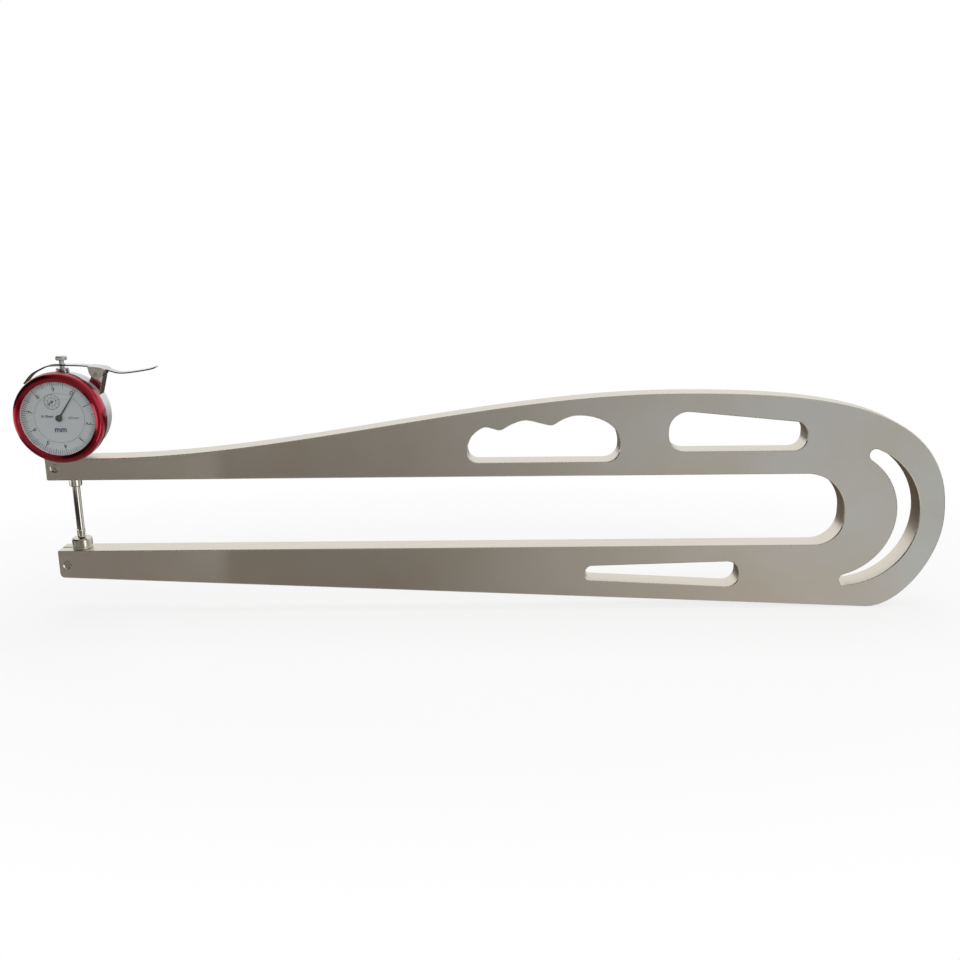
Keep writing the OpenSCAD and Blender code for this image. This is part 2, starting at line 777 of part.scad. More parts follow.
module dial_centre_disc() {
    color([0.9, 0.9, 0.9])
        difference() {
            slab(dial_y, dial_y + dial_t)
                translate([0, dial_z])
                    circle(centre_disc_r, $fn = 128);
            bar_y(0, dial_z, centre_r + free_gap, dial_y - 1, dial_y + 1);
            bar_y(counter_x, counter_z, arbor_r + free_gap, dial_y - 1, dial_y + 1);
        }
}

module bezel_snap_ring() {
    wire_r = snap_half - 0.1;
    color([0.4, 0.4, 0.42])
        translate([0, snap_y, dial_z])
            rotate([-90, 0, 0])
                rotate([0, 0, 10])
                    rotate_extrude(angle = 340, $fn = 128)
                        translate([rim_r + 0.05, 0])
                            circle(wire_r, $fn = 24);
}

// Channel of bent sheet that stands on the case: two cheeks, a web on the right and a curved floor
module lever_bracket() {
    half_w = bracket_w / 2;
    in_w = half_w - bracket_t;
    color([0.75, 0.75, 0.77])
        difference() {
            union() {
                at_dial()
                    slab(-half_w, half_w)
                        polygon(cheek_side);
                bar_y(pivot_x, pivot_z, 2.9, -half_w, half_w);
            }
            difference() {
                at_dial()
                    slab(-in_w, in_w)
                        polygon([
                            [5, 8], web_foot - [bracket_t, 0], web_top - [bracket_t, 0],
                            web_top + [-bracket_t, 12], [5, web_top[1] + 12]
                        ]);
                bar_y(0, dial_z, bracket_floor_r, -bracket_w, bracket_w);
            }
            bar_y(0, dial_z, case_r + 0.02, -bracket_w, bracket_w);
            bar_y(pivot_x, pivot_z, pivot_d / 2 + seat_fit, -bracket_w, bracket_w);
            radial_bar(bracket_screw_angle, 1, case_r - 1, bracket_floor_r + 1);
        }
}

module bracket_screw() {
    color([0.6, 0.6, 0.62])
        difference() {
            union() {
                radial_bar(bracket_screw_angle, 0.95, case_in_r + 0.1, bracket_floor_r + 0.1);
                radial_bar(bracket_screw_angle, 1.5, bracket_floor_r + 0.05, bracket_floor_r + 1.05);
            }
            at_dial()
                rotate([0, 90 - bracket_screw_angle, 0])
                    translate([-3, -0.2, bracket_floor_r + 0.6])
                        cube([6, 0.4, 1]);
        }
}

module lever_pin() {
    end_y = ear_in + ear_t + 0.1;
    color([0.7, 0.7, 0.72])
        union() {
            bar_y(pivot_x, pivot_z, pivot_d / 2, -end_y - 0.5, end_y + 0.5);
            bar_y(pivot_x, pivot_z, pivot_d / 2 + 0.5, -end_y - 0.5, -end_y);
            bar_y(pivot_x, pivot_z, pivot_d / 2 + 0.5, end_y, end_y + 0.5);
        }
}

// Space that is milled away beside the rack, with its tooth gaps
module rack_cut() {
    tip_x = rack_line_x - gear_m;
    root_x = rack_line_x + 1.25 * gear_m;
    half = rack_pitch / 4 - mesh_play / 4;
    tip_half = half - gear_m * tan(20);
    root_half = half + 1.25 * gear_m * tan(20);
    below = ceil((travel + rack_margin) / rack_pitch);
    above = ceil(rack_margin / rack_pitch);
    slab(-spindle_r - 1, spindle_r + 1)
        translate([0, counter_z])
            polygon(concat(
                [[-spindle_r - 1, -(below + 0.9) * rack_pitch], [tip_x, -(below + 0.9) * rack_pitch]],
                [
                    for (k = [-below:above])
                        each [
                            [root_x, (k - 0.5) * rack_pitch - rack_pitch + root_half],
                            [root_x, (k - 0.5) * rack_pitch - root_half],
                            [tip_x, (k - 0.5) * rack_pitch - tip_half],
                            [tip_x, (k - 0.5) * rack_pitch + tip_half]
                        ]
                ],
                [[-spindle_r - 1, (above - 0.5) * rack_pitch + tip_half]]
            ));
}

module spindle() {
    shoulder_z = dial_z + case_in_r - travel - 0.2;
    color([0.72, 0.72, 0.72])
        difference() {
            union() {
                bar_z(spindle_r, stem_end_z + 3, shoulder_z);
                bar_z(neck_r, shoulder_z - 0.1, cap_z + cap_h - 1);
            }
            rack_cut();
            bar_z(1.25 + seat_fit, stem_end_z + 2, stem_end_z + 9.2);
            translate([0, 0, guide_z])
                rotate([0, 90, 0])
                    cylinder(r = guide_pin_r + seat_fit, h = spindle_r + 1);
        }
}

module extension_rod() {
    color([0.7, 0.7, 0.7])
        difference() {
            union() {
                bar_z(spindle_r, contact_l, stem_end_z + 3);
                bar_z(1.25, stem_end_z + 2.9, stem_end_z + 9);
            }
            bar_z(1.25 + seat_fit, contact_l - 1, contact_l + 5.2);
        }
}

module contact_point() {
    dome_r = 7;
    r = contact_d / 2;
    sag = dome_r - sqrt(dome_r * dome_r - r * r);
    lift = 0.02;
    half = asin(r / dome_r);
    color([0.72, 0.72, 0.7])
        rotate_extrude()
            polygon(concat(
                [for (i = [0:6]) let (a = half * i / 6) [dome_r * sin(a), lift + dome_r - dome_r * cos(a)]],
                [
                    [r, contact_l - 0.5], [spindle_r, contact_l], [1.25, contact_l], [1.25, contact_l + 5],
                    [0, contact_l + 5]
                ]
            ));
}

module plunger_cap() {
    r = cap_d / 2;
    color([0.75, 0.75, 0.75])
        difference() {
            rotate_extrude()
                polygon([
                    [0, cap_z], [r - 0.3, cap_z], [r, cap_z + 0.3],
                    [r, cap_z + cap_h - 0.6], [r - 0.6, cap_z + cap_h], [0, cap_z + cap_h]
                ]);
            bar_z(neck_r + seat_fit, cap_z - 1, cap_z + cap_h - 1);
        }
}

module guide_pin() {
    color([0.6, 0.6, 0.6])
        translate([0.1, 0, guide_z])
            rotate([0, 90, 0])
                cylinder(r = guide_pin_r, h = guide_pin_end - 0.1);
}

module counter_arbor() {
    color([0.7, 0.7, 0.7])
        union() {
            bar_y(counter_x, counter_z, arbor_r, dial_y - 0.8, cock_y + cock_t - 0.1);
            slab(-pinion_half_l, pinion_half_l)
                translate([counter_x, counter_z])
                    polygon(wheel_outline(rack_pinion_teeth, 0));
        }
}

// Toothed wheel with four lightening holes and a hub on its rear side
module wheel(y0, turn, bore_r) {
    ring = wheel_teeth * gear_m / 4 + 0.6;
    difference() {
        union() {
            slab(y0, y0 + wheel_t)
                polygon(wheel_outline(wheel_teeth, turn));
            bar_y(0, 0, 1.3, y0 + wheel_t - 0.1, y0 + wheel_t + 0.7);
        }
        for (a = [45:90:315])
            bar_y(ring * cos(a), ring * sin(a), 2.6, y0 - 1, y0 + wheel_t + 1);
        bar_y(0, 0, bore_r, y0 - 1, y0 + wheel_t + 1);
    }
}

module counter_wheel() {
    color([0.85, 0.72, 0.4])
        translate([counter_x, 0, counter_z])
            wheel(counter_wheel_y, counter_turn, arbor_r + seat_fit);
}

// Pointer: a tapered blade with a round hub, turned clockwise from straight up
module pointer(x, z, turn, reach, tail, w0, w1, y0, y1) {
    translate([x, 0, z])
        rotate([0, turn, 0])
            slab(y0, y1)
                polygon([[-w0 / 2, -tail], [w0 / 2, -tail], [w1 / 2, reach], [-w1 / 2, reach]]);
}

module small_hand() {
    y0 = dial_y - 0.6;
    y1 = dial_y - 0.3;
    color([0.1, 0.1, 0.1])
        difference() {
            union() {
                pointer(counter_x, counter_z, 235, 3.6, 1.2, 0.7, 0.25, y0, y1);
                bar_y(counter_x, counter_z, 0.9, y0, y1);
            }
            bar_y(counter_x, counter_z, arbor_r + seat_fit, y0 - 1, y1 + 1);
        }
}

module centre_arbor() {
    color([0.7, 0.7, 0.7])
        union() {
            bar_y(0, dial_z, centre_r, hand_y + 0.2, main_y - main_t - 0.1);
            bar_y(0, dial_z, pivot_r, main_y - main_t - 0.2, main_y - 0.1);
            slab(counter_wheel_y - 0.4, hair_wheel_y + wheel_t + 0.4)
                translate([0, dial_z])
                    polygon(wheel_outline(centre_teeth, centre_turn));
        }
}

module main_hand() {
    hub_front = hand_y - 0.5;
    color([0.08, 0.08, 0.08])
        difference() {
            union() {
                pointer(0, dial_z, 35, 21.8, 0, 1.1, 0.35, hand_y, hand_y + 0.2);
                bar_y(0, dial_z, 2.15, hub_front, hand_y + 0.4);
            }
            bar_y(0, dial_z, centre_r + seat_fit, hand_y, hand_y + 1);
        }
}

module hairspring_wheel() {
    color([0.85, 0.72, 0.4])
        translate([hair_x, 0, hair_z])
            wheel(hair_wheel_y, hair_turn, arbor_r + seat_fit);
}

module hairspring_arbor() {
    color([0.7, 0.7, 0.7])
        union() {
            bar_y(hair_x, hair_z, pivot_r, bridge_y + 0.3, main_y - 0.1);
            bar_y(hair_x, hair_z, arbor_r, bridge_y + bridge_t + 0.1, main_y - main_t - 0.1);
            bar_y(hair_x, hair_z, 1.2, -6.9, -5.7);
        }
}

module bezel() {
    r = bezel_r;
    bore_r = rim_r + 0.08;
    groove_r = bore_r + 0.5;
    ring_r = glass_r + 0.4;
    lip_r = window_r;
    color([0.62, 0.03, 0.13])
        turned(concat(
            [[bore_r, bezel_back], [r - 0.6, bezel_back], [r, bezel_back - 0.6]],
            curve(
                [r, bezel_back - 2.6], [r, bezel_back - 5.6],
                [r - 1.2, bezel_front + 0.2], [r - 3, bezel_front], 10
            ),
            [[lip_r + 0.5, bezel_front + 0.5], [lip_r, bezel_front + 0.9], [lip_r, crystal_front]],
            [[glass_r, crystal_front], [glass_r, dial_y], [ring_r, dial_y], [ring_r, rim_y - free_gap / 2]],
            [
                [bore_r, rim_y - free_gap / 2], [bore_r, snap_y - 0.5], [groove_r, snap_y - 0.5],
                [groove_r, snap_y + 0.5], [bore_r, snap_y + 0.5]
            ]
        ));
}

module crystal() {
    color([0.8, 0.85, 0.9, 0.3])
        turned([
            [0, crystal_front], [glass_r - seat_fit, crystal_front],
            [glass_r - seat_fit, crystal_back], [0, crystal_back]
        ]);
}

module spacer_ring() {
    r = glass_r - seat_fit;
    color([0.8, 0.8, 0.8])
        turned([[r - 0.8, crystal_back], [r, crystal_back], [r, dial_y], [r - 0.8, dial_y]]);
}

module dial_ring() {
    color([0.9, 0.9, 0.9])
        turned([
            [centre_disc_r + 0.1, dial_y], [glass_r + 0.36, dial_y],
            [glass_r + 0.36, dial_y + dial_t], [centre_disc_r + 0.1, dial_y + dial_t]
        ]);
}

// Side outline of the lever's bent sheet
function lever_side() =
    let (
        p = spline(lever_path, 4),
        n = len(p) - 1,
        dirs = [for (i = [0:n]) p[min(i + 1, n)] - p[max(i - 1, 0)]],
        offs = [for (d = dirs) lever_t / 2 / norm(d) * [-d[1], d[0]]]
    )
        concat([for (i = [0:n]) p[i] + offs[i]], [for (i = [n:-1:0]) p[i] - offs[i]]);

module lifting_lever() {
    slot_r = neck_r + 0.3;
    color([0.72, 0.72, 0.74])
        difference() {
            union() {
                at_dial()
                    slab(-lever_w / 2, lever_w / 2)
                        polygon(lever_side());
                intersection() {
                    at_dial()
                        slab(-ear_in - ear_t, ear_in + ear_t)
                            polygon(lever_side());
                    translate([ear_from, -20, dial_z])
                        cube([ear_to - ear_from, 40, 60]);
                }
                for (s = [-1, 1])
                    translate([0, s > 0 ? ear_in : -ear_in - ear_t, 0])
                        union() {
                            bar_y(pivot_x, pivot_z, 3.2, 0, ear_t);
                            at_dial()
                                slab(0, ear_t)
                                    polygon(ear_side);
                        }
            }
            bar_y(pivot_x, pivot_z, pivot_d / 2 + 0.06, -ear_in - 2, ear_in + 2);
            translate([-7.6, -slot_r, dial_z + 20])
                cube([10, 2 * slot_r, 20]);
        }
}

frame_plate();
gauge_clamp_screw();
anvil_clamp_screw();
anvil();
gauge_case();
stem();
top_bush();
back_cover();
back_cover_screws();
main_plate();
plate_screws();
movement_pillars();
movement_bridge();
bridge_screws();
rear_cock();
rear_cock_screws();
guide_rail();
spring_post();
return_spring();
hairspring();
hairspring_stud();
dial_centre_disc();
bezel_snap_ring();
lever_bracket();
bracket_screw();
lever_pin();
spindle();
extension_rod();
contact_point();
plunger_cap();
guide_pin();
counter_arbor();
counter_wheel();
small_hand();
centre_arbor();
main_hand();
hairspring_wheel();
hairspring_arbor();
bezel();
crystal();
spacer_ring();
dial_ring();
lifting_lever();
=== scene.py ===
# %% [markdown]
# # A deep-throat dial thickness gauge
# The gauge measures how thick a sheet is, up to half a metre in from its edge. A flat
# aluminium frame carries a dial indicator over a small steel anvil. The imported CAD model
# gives every piece its place, and this file gives each one its edges, its small details
# and its finish. It loads the model first, because every new piece is fitted to it.

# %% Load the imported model
import math

import bmesh
import bpy
from mathutils import Matrix, Vector


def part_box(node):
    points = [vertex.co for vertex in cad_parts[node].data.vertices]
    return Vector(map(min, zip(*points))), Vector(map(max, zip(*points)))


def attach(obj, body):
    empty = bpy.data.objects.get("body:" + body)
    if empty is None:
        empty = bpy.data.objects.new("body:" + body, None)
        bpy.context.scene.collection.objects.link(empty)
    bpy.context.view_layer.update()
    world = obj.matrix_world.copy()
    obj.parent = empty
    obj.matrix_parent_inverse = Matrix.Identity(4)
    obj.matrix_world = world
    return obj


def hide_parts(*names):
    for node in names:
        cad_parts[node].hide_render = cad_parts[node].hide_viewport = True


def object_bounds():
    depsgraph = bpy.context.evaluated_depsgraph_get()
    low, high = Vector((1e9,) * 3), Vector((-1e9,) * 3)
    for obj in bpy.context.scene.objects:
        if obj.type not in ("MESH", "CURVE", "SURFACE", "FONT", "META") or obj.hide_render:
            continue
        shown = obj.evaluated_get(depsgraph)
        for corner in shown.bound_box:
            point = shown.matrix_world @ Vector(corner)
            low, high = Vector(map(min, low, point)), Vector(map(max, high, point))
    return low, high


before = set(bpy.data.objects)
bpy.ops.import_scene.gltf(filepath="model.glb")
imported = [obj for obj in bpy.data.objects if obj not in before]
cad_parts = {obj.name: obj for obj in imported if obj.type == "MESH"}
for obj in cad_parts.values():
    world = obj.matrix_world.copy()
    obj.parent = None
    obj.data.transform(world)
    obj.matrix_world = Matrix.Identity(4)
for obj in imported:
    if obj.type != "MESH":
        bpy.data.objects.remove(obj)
cad_box = [list(corner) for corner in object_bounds()]
print("CAD box:", cad_box)

# %% [markdown]
# ## Sizes that the pieces share
# Blender works in metres, and a gauge is thought of in millimetres, so one value turns
# one into the other. The places below are read from the CAD boxes instead of being typed
# again: the dial's centre is the middle of the bezel, the small dial's is the middle of
# the arbor that carries its hand, and the printed marks sit on the front of the disc.

# %% Places on the object
MM = 0.001
MERGE_WITHIN = 0.0005 * MM
ORIGIN = Vector((0, 0, 0))
UP = Vector((0, 0, 1))
BACKWARDS = Vector((0, 1, 0))
bezel_low, bezel_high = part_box("bezel")
DIAL = Vector((0, 0, (bezel_low.z + bezel_high.z) / 2))
DIAL_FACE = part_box("dial_centre_disc")[0].y
small_low, small_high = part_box("counter_arbor")
COUNTER = Vector(((small_low.x + small_high.x) / 2, 0, (small_low.z + small_high.z) / 2))
print("dial centre", DIAL, "printed face at", DIAL_FACE, "small hand's axis", COUNTER)

# %% [markdown]
# ## Colour
# Colours are written as the hex values that a paint chart or a photograph gives, which
# are sRGB. Shaders want linear light, so one function turns each value.


# %% Hex colour to linear light
def linear(code):
    """Linear RGBA of an sRGB hex value"""
    parts = [int(code[i : i + 2], 16) / 255 for i in (0, 2, 4)]
    return [p / 12.92 if p <= 0.04045 else ((p + 0.055) / 1.055) ** 2.4 for p in parts] + [1]


print("mid grey 808080 is", round(linear("808080")[0], 3), "in linear light")

# %% [markdown]
# ## How a finish is built
# A finish starts from the Principled shader with plain values. Each pattern on it is a
# node that reads the piece's own Object coordinates, so the pattern stays on the metal
# when the piece moves. One small function adds a node, sets its options and fills or
# links its inputs. Another links what the nodes give to the shader, and a third lays a
# clear coat over the finish. A noise mostly stays between 0.3 and 0.7, so that is the
# span which is turned into a range of tones or roughness.


# %% Helpers for finishes
TWO_TONES = {"data_type": "RGBA"}
NOISE_SPAN = {"From Min": 0.3, "From Max": 0.7}


def add(tree, kind, settings=None, inputs=None):
    """One shader node with its settings, and its inputs filled or linked"""
    node = tree.nodes.new(kind)
    for name, value in (settings or {}).items():
        setattr(node, name, value)
    for name, value in (inputs or {}).items():
        if isinstance(value, bpy.types.NodeSocket):
            tree.links.new(value, node.inputs[name])
        else:
            node.inputs[name].default_value = value
    return node


def start_finish(name, colour, metallic, roughness):
    """A new material: its node tree and its Principled shader with plain values"""
    finish = bpy.data.materials.new(name)
    finish.use_nodes = True
    shader = finish.node_tree.nodes["Principled BSDF"]
    shader.inputs["Base Color"].default_value = linear(colour)
    shader.inputs["Metallic"].default_value = metallic
    shader.inputs["Roughness"].default_value = roughness
    return finish, finish.node_tree, shader


def in_millimetres(tree, stretch=(1, 1, 1)):
    """Object coordinates counted in millimetres, squeezed or stretched for long patterns"""
    place = add(tree, "ShaderNodeTexCoord")
    scale = [1000 * s for s in stretch]
    counted = add(tree, "ShaderNodeMapping", inputs={"Vector": place.outputs["Object"], "Scale": scale})
    return counted.outputs["Vector"]


def plug(tree, shader, sockets):
    """Links the shader's inputs to the outputs that drive them"""
    for name, socket in sockets.items():
        tree.links.new(socket, shader.inputs[name])


def coat(shader, weight, roughness):
    """A clear coat over the finish"""
    shader.inputs["Coat Weight"].default_value = weight
    shader.inputs["Coat Roughness"].default_value = roughness


# %% [markdown]
# ## Blasted aluminium: the faces of the frame plate
# The plate is cut from rolled aluminium sheet, its faces are blasted with fine glass
# beads and then clear anodised. That gives a soft metal grey with no direction in it, a
# fine grain of dents about 0.15 mm across, and slow patches where the blasting was
# lighter or the anodising warmer. The grain is drawn at 0.7 mm, because the real one is
# too fine to show. Handling leaves a few small dark dings.

# %% Finish: blasted aluminium
GRAINS_PER_MM = 1.4
PATCHES_PER_MM = 0.018
DINGS_PER_MM = 0.014
blasted_aluminium, tree, shader = start_finish("blasted_anodised_aluminium", "CDC8BF", 1.0, 0.42)
grain = add(
    tree,
    "ShaderNodeTexNoise",
    inputs={"Vector": in_millimetres(tree), "Scale": GRAINS_PER_MM, "Detail": 3.0, "Roughness": 0.6},
)
patches = add(
    tree,
    "ShaderNodeTexNoise",
    inputs={"Vector": in_millimetres(tree), "Scale": PATCHES_PER_MM, "Detail": 3.0, "Roughness": 0.55},
)
dings = add(tree, "ShaderNodeTexVoronoi", inputs={"Vector": in_millimetres(tree), "Scale": DINGS_PER_MM})
ding_spots = add(
    tree,
    "ShaderNodeMapRange",
    inputs={
        "Value": dings.outputs["Distance"],
        "From Min": 0.003,
        "From Max": 0.0085,
        "To Min": 1.0,
        "To Max": 0.0,
    },
)
patch_tone = add(tree, "ShaderNodeMapRange", inputs={"Value": patches.outputs["Fac"], **NOISE_SPAN})
warm_cool = add(
    tree,
    "ShaderNodeMix",
    settings=TWO_TONES,
    inputs={"Factor": patch_tone.outputs["Result"], "A": linear("CBC4B8"), "B": linear("CFCCC6")},
)
dinged = add(
    tree,
    "ShaderNodeMix",
    settings=TWO_TONES,
    inputs={
        "Factor": ding_spots.outputs["Result"],
        "A": warm_cool.outputs["Result"],
        "B": linear("6E6A60"),
    },
)
grain_rough = add(
    tree,
    "ShaderNodeMapRange",
    inputs={"Value": grain.outputs["Fac"], **NOISE_SPAN, "To Min": 0.36, "To Max": 0.48},
)
grain_bump = add(
    tree,
    "ShaderNodeBump",
    inputs={"Height": grain.outputs["Fac"], "Strength": 0.35, "Distance": 0.05 * MM},
)
plug(
    tree,
    shader,
    {
        "Base Color": dinged.outputs["Result"],
        "Roughness": grain_rough.outputs["Result"],
        "Normal": grain_bump.outputs["Normal"],
    },
)
print(blasted_aluminium.name, "nodes:", len(tree.nodes))

# %% [markdown]
# ## Milled aluminium: the edges and the walls of the slots
# The outline and the slots are cut with an end mill that goes round the plate, so the
# walls carry fine lines along their length. They were cut after blasting and are a
# little brighter and smoother than the faces. The lines are a noise that is squeezed
# across the plate's thickness and stretched along its length, one every 0.5 mm.

# %% Finish: milled aluminium walls and cut chamfers
milled_aluminium, tree, shader = start_finish("milled_aluminium", "DAD3C6", 1.0, 0.33)
lines = add(
    tree,
    "ShaderNodeTexNoise",
    inputs={
        "Vector": in_millimetres(tree, (0.02, 2.0, 0.02)),
        "Scale": 1.0,
        "Detail": 4.0,
        "Roughness": 0.65,
    },
)
line_tone = add(tree, "ShaderNodeMapRange", inputs={"Value": lines.outputs["Fac"], **NOISE_SPAN})
line_colour = add(
    tree,
    "ShaderNodeMix",
    settings=TWO_TONES,
    inputs={"Factor": line_tone.outputs["Result"], "A": linear("CFC7B9"), "B": linear("E4DED2")},
)
line_rough = add(
    tree,
    "ShaderNodeMapRange",
    inputs={"Value": line_tone.outputs["Result"], "To Min": 0.26, "To Max": 0.42},
)
line_bump = add(
    tree,
    "ShaderNodeBump",
    inputs={"Height": lines.outputs["Fac"], "Strength": 0.4, "Distance": 0.08 * MM},
)
plug(
    tree,
    shader,
    {
        "Base Color": line_colour.outputs["Result"],
        "Roughness": line_rough.outputs["Result"],
        "Normal": line_bump.outputs["Normal"],
    },
)

cut_chamfer, tree, shader = start_finish("cut_aluminium_chamfer", "E6E1D6", 1.0, 0.25)
chatter = add(
    tree,
    "ShaderNodeTexNoise",
    inputs={"Vector": in_millimetres(tree, (0.6, 0.6, 0.6)), "Scale": 1.0, "Detail": 2.0},
)
chatter_rough = add(
    tree,
    "ShaderNodeMapRange",
    inputs={"Value": chatter.outputs["Fac"], **NOISE_SPAN, "To Min": 0.2, "To Max": 0.34},
)
plug(tree, shader, {"Roughness": chatter_rough.outputs["Result"]})
print(milled_aluminium.name, cut_chamfer.name)

# %% [markdown]
# ## Turned and ground steel
# The spindle, the rod, the anvil and the stem are hardened steel that was turned and
# then ground or polished. What is left is a mirror with very fine rings around the axis,
# about 0.1 mm apart. They are drawn at 0.3 mm, as a noise that is squeezed along the
# turning axis, in the roughness and a faint bump.


# %% Finish: turned steel, for a given axis
def turned_steel(name, colour, smoother, rougher, squeeze, ring_mm=0.3, depth_mm=0.004):
    """Polished steel with fine rings around the turning axis; squeeze has a 1 along that axis"""
    finish, tree, shader = start_finish(name, colour, 1.0, smoother)
    rings = add(
        tree,
        "ShaderNodeTexNoise",
        inputs={
            "Vector": in_millimetres(tree, squeeze),
            "Scale": 1 / ring_mm,
            "Detail": 2.0,
            "Roughness": 0.7,
        },
    )
    ring_rough = add(
        tree,
        "ShaderNodeMapRange",
        inputs={"Value": rings.outputs["Fac"], **NOISE_SPAN, "To Min": smoother, "To Max": rougher},
    )
    ring_bump = add(
        tree,
        "ShaderNodeBump",
        inputs={"Height": rings.outputs["Fac"], "Strength": 0.3, "Distance": depth_mm * MM},
    )
    plug(tree, shader, {"Roughness": ring_rough.outputs["Result"], "Normal": ring_bump.outputs["Normal"]})
    return finish


along_z = (0.02, 0.02, 1.0)
along_y = (0.02, 1.0, 0.02)
ground_steel = turned_steel("ground_hardened_steel", "CBCAC1", 0.12, 0.24, along_z)
polished_steel = turned_steel("polished_steel", "C8C7C3", 0.07, 0.14, along_z)
bright_chrome = turned_steel("bright_chrome_plate", "D4D4D4", 0.04, 0.12, along_z, depth_mm=0.002)
screw_steel = turned_steel("zinc_plated_steel", "C0C0BE", 0.2, 0.36, along_y)
lever_steel = turned_steel("nickel_plated_spring_steel", "C4C3C0", 0.1, 0.2, (1.0, 0.02, 0.02))
# The lever's cut edges: rough steel whose near-black tone is painted shade on the thin edge.
edge_steel_with_painted_shade = turned_steel("lever_edge_painted_shade_steel", "3E3C39", 0.3, 0.45, (1.0, 1.0, 0.02), depth_mm=0.02)
blued_steel = turned_steel("blued_spring_steel", "3A3C44", 0.2, 0.35, along_z)
print("steels:", [m.name for m in bpy.data.materials if "steel" in m.name])

# %% [markdown]
# ## Brass of the movement
# Wheels, plates and pillars are brass, with the circular grain of a lathe or a grinding
# wheel. They are sealed inside the case, and still get the finish that they have.

# %% Finish: circular-grained brass
grained_brass, tree, shader = start_finish("circular_grained_brass", "D9BC7A", 1.0, 0.24)
brass_grain = add(
    tree,
    "ShaderNodeTexNoise",
    inputs={"Vector": in_millimetres(tree, (1, 0.05, 1)), "Scale": 2.5, "Detail": 4.0, "Roughness": 0.7},
)
brass_tone = add(
    tree,
    "ShaderNodeMix",
    settings=TWO_TONES,
    inputs={"Factor": brass_grain.outputs["Fac"], "A": linear("C9A964"), "B": linear("E3CC92")},
)
brass_rough = add(
    tree,
    "ShaderNodeMapRange",
    inputs={"Value": brass_grain.outputs["Fac"], "To Min": 0.14, "To Max": 0.36},
)
plug(
    tree,
    shader,
    {
        "Base Color": brass_tone.outputs["Result"],
        "Roughness": brass_rough.outputs["Result"],
    },
)
print(grained_brass.name)

# %% [markdown]
# ## Red anodised aluminium: the bezel
# The bezel is turned from aluminium, polished, dyed crimson and sealed. The dye sits in a
# clear oxide layer over bright metal, so it is a tinted mirror under a clear coat: deep
# red where it mirrors something dark, pink where it mirrors a lamp. Turning leaves fine
# rings, which show as a slight change of roughness along the depth.

# %% Finish: red anodised aluminium
red_anodised, tree, shader = start_finish("red_anodised_aluminium", "A8132D", 1.0, 0.2)
bezel_rings = add(
    tree,
    "ShaderNodeTexNoise",
    inputs={"Vector": in_millimetres(tree, along_y), "Scale": 3.0, "Detail": 2.0},
)
bezel_rough = add(
    tree,
    "ShaderNodeMapRange",
    inputs={"Value": bezel_rings.outputs["Fac"], **NOISE_SPAN, "To Min": 0.16, "To Max": 0.26},
)
dye = add(
    tree,
    "ShaderNodeTexNoise",
    inputs={"Vector": in_millimetres(tree), "Scale": 0.25, "Detail": 2.0},
)
dye_tone = add(
    tree,
    "ShaderNodeMix",
    settings=TWO_TONES,
    inputs={"Factor": dye.outputs["Fac"], "A": linear("9F1028"), "B": linear("AE1631")},
)
plug(tree, shader, {"Base Color": dye_tone.outputs["Result"], "Roughness": bezel_rough.outputs["Result"]})
coat(shader, 0.6, 0.05)
print(red_anodised.name)

# %% [markdown]
# ## Silver lacquer: the case and its cover
# The case is die-cast zinc, turned on the outside and sprayed with a satin silver
# lacquer. Metal flakes in the lacquer give it a cool white sheen with a faint sparkle,
# and a little orange peel of about 1.5 mm.

# %% Finish: satin silver lacquer
silver_lacquer, tree, shader = start_finish("satin_silver_lacquer", "DDE0E3", 0.55, 0.38)
FLAKES_PER_MM = 3.0
PEEL_PER_MM = 0.65
flakes = add(tree, "ShaderNodeTexVoronoi", inputs={"Vector": in_millimetres(tree), "Scale": FLAKES_PER_MM})
flake_rough = add(
    tree,
    "ShaderNodeMapRange",
    inputs={"Value": flakes.outputs["Distance"], "From Max": 0.7, "To Min": 0.3, "To Max": 0.46},
)
peel = add(
    tree,
    "ShaderNodeTexNoise",
    inputs={"Vector": in_millimetres(tree), "Scale": PEEL_PER_MM, "Detail": 1.0},
)
peel_bump = add(
    tree,
    "ShaderNodeBump",
    inputs={"Height": peel.outputs["Fac"], "Strength": 0.25, "Distance": 0.03 * MM},
)
plug(tree, shader, {"Roughness": flake_rough.outputs["Result"], "Normal": peel_bump.outputs["Normal"]})
coat(shader, 0.35, 0.2)
print(silver_lacquer.name)

# %% [markdown]
# ## The dial's enamel, its ink and the painted hands
# The dial sheets are aluminium with a matt, light grey enamel, which throws no glare at
# the reader. Its marks are screen printed in black ink, a trace glossier than the enamel.
# The hands are stamped brass with satin black paint.

# %% Finish: dial enamel
dial_enamel, tree, shader = start_finish("matt_dial_enamel", "A2A5A6", 0.0, 0.5)
speckle = add(
    tree,
    "ShaderNodeTexNoise",
    inputs={"Vector": in_millimetres(tree), "Scale": 4.0, "Detail": 2.0},
)
enamel_tone = add(
    tree,
    "ShaderNodeMix",
    settings=TWO_TONES,
    inputs={"Factor": speckle.outputs["Fac"], "A": linear("989B9C"), "B": linear("A0A2A3")},
)
enamel_bump = add(
    tree,
    "ShaderNodeBump",
    inputs={"Height": speckle.outputs["Fac"], "Strength": 0.15, "Distance": 0.01 * MM},
)
plug(tree, shader, {"Base Color": enamel_tone.outputs["Result"], "Normal": enamel_bump.outputs["Normal"]})
print(dial_enamel.name)


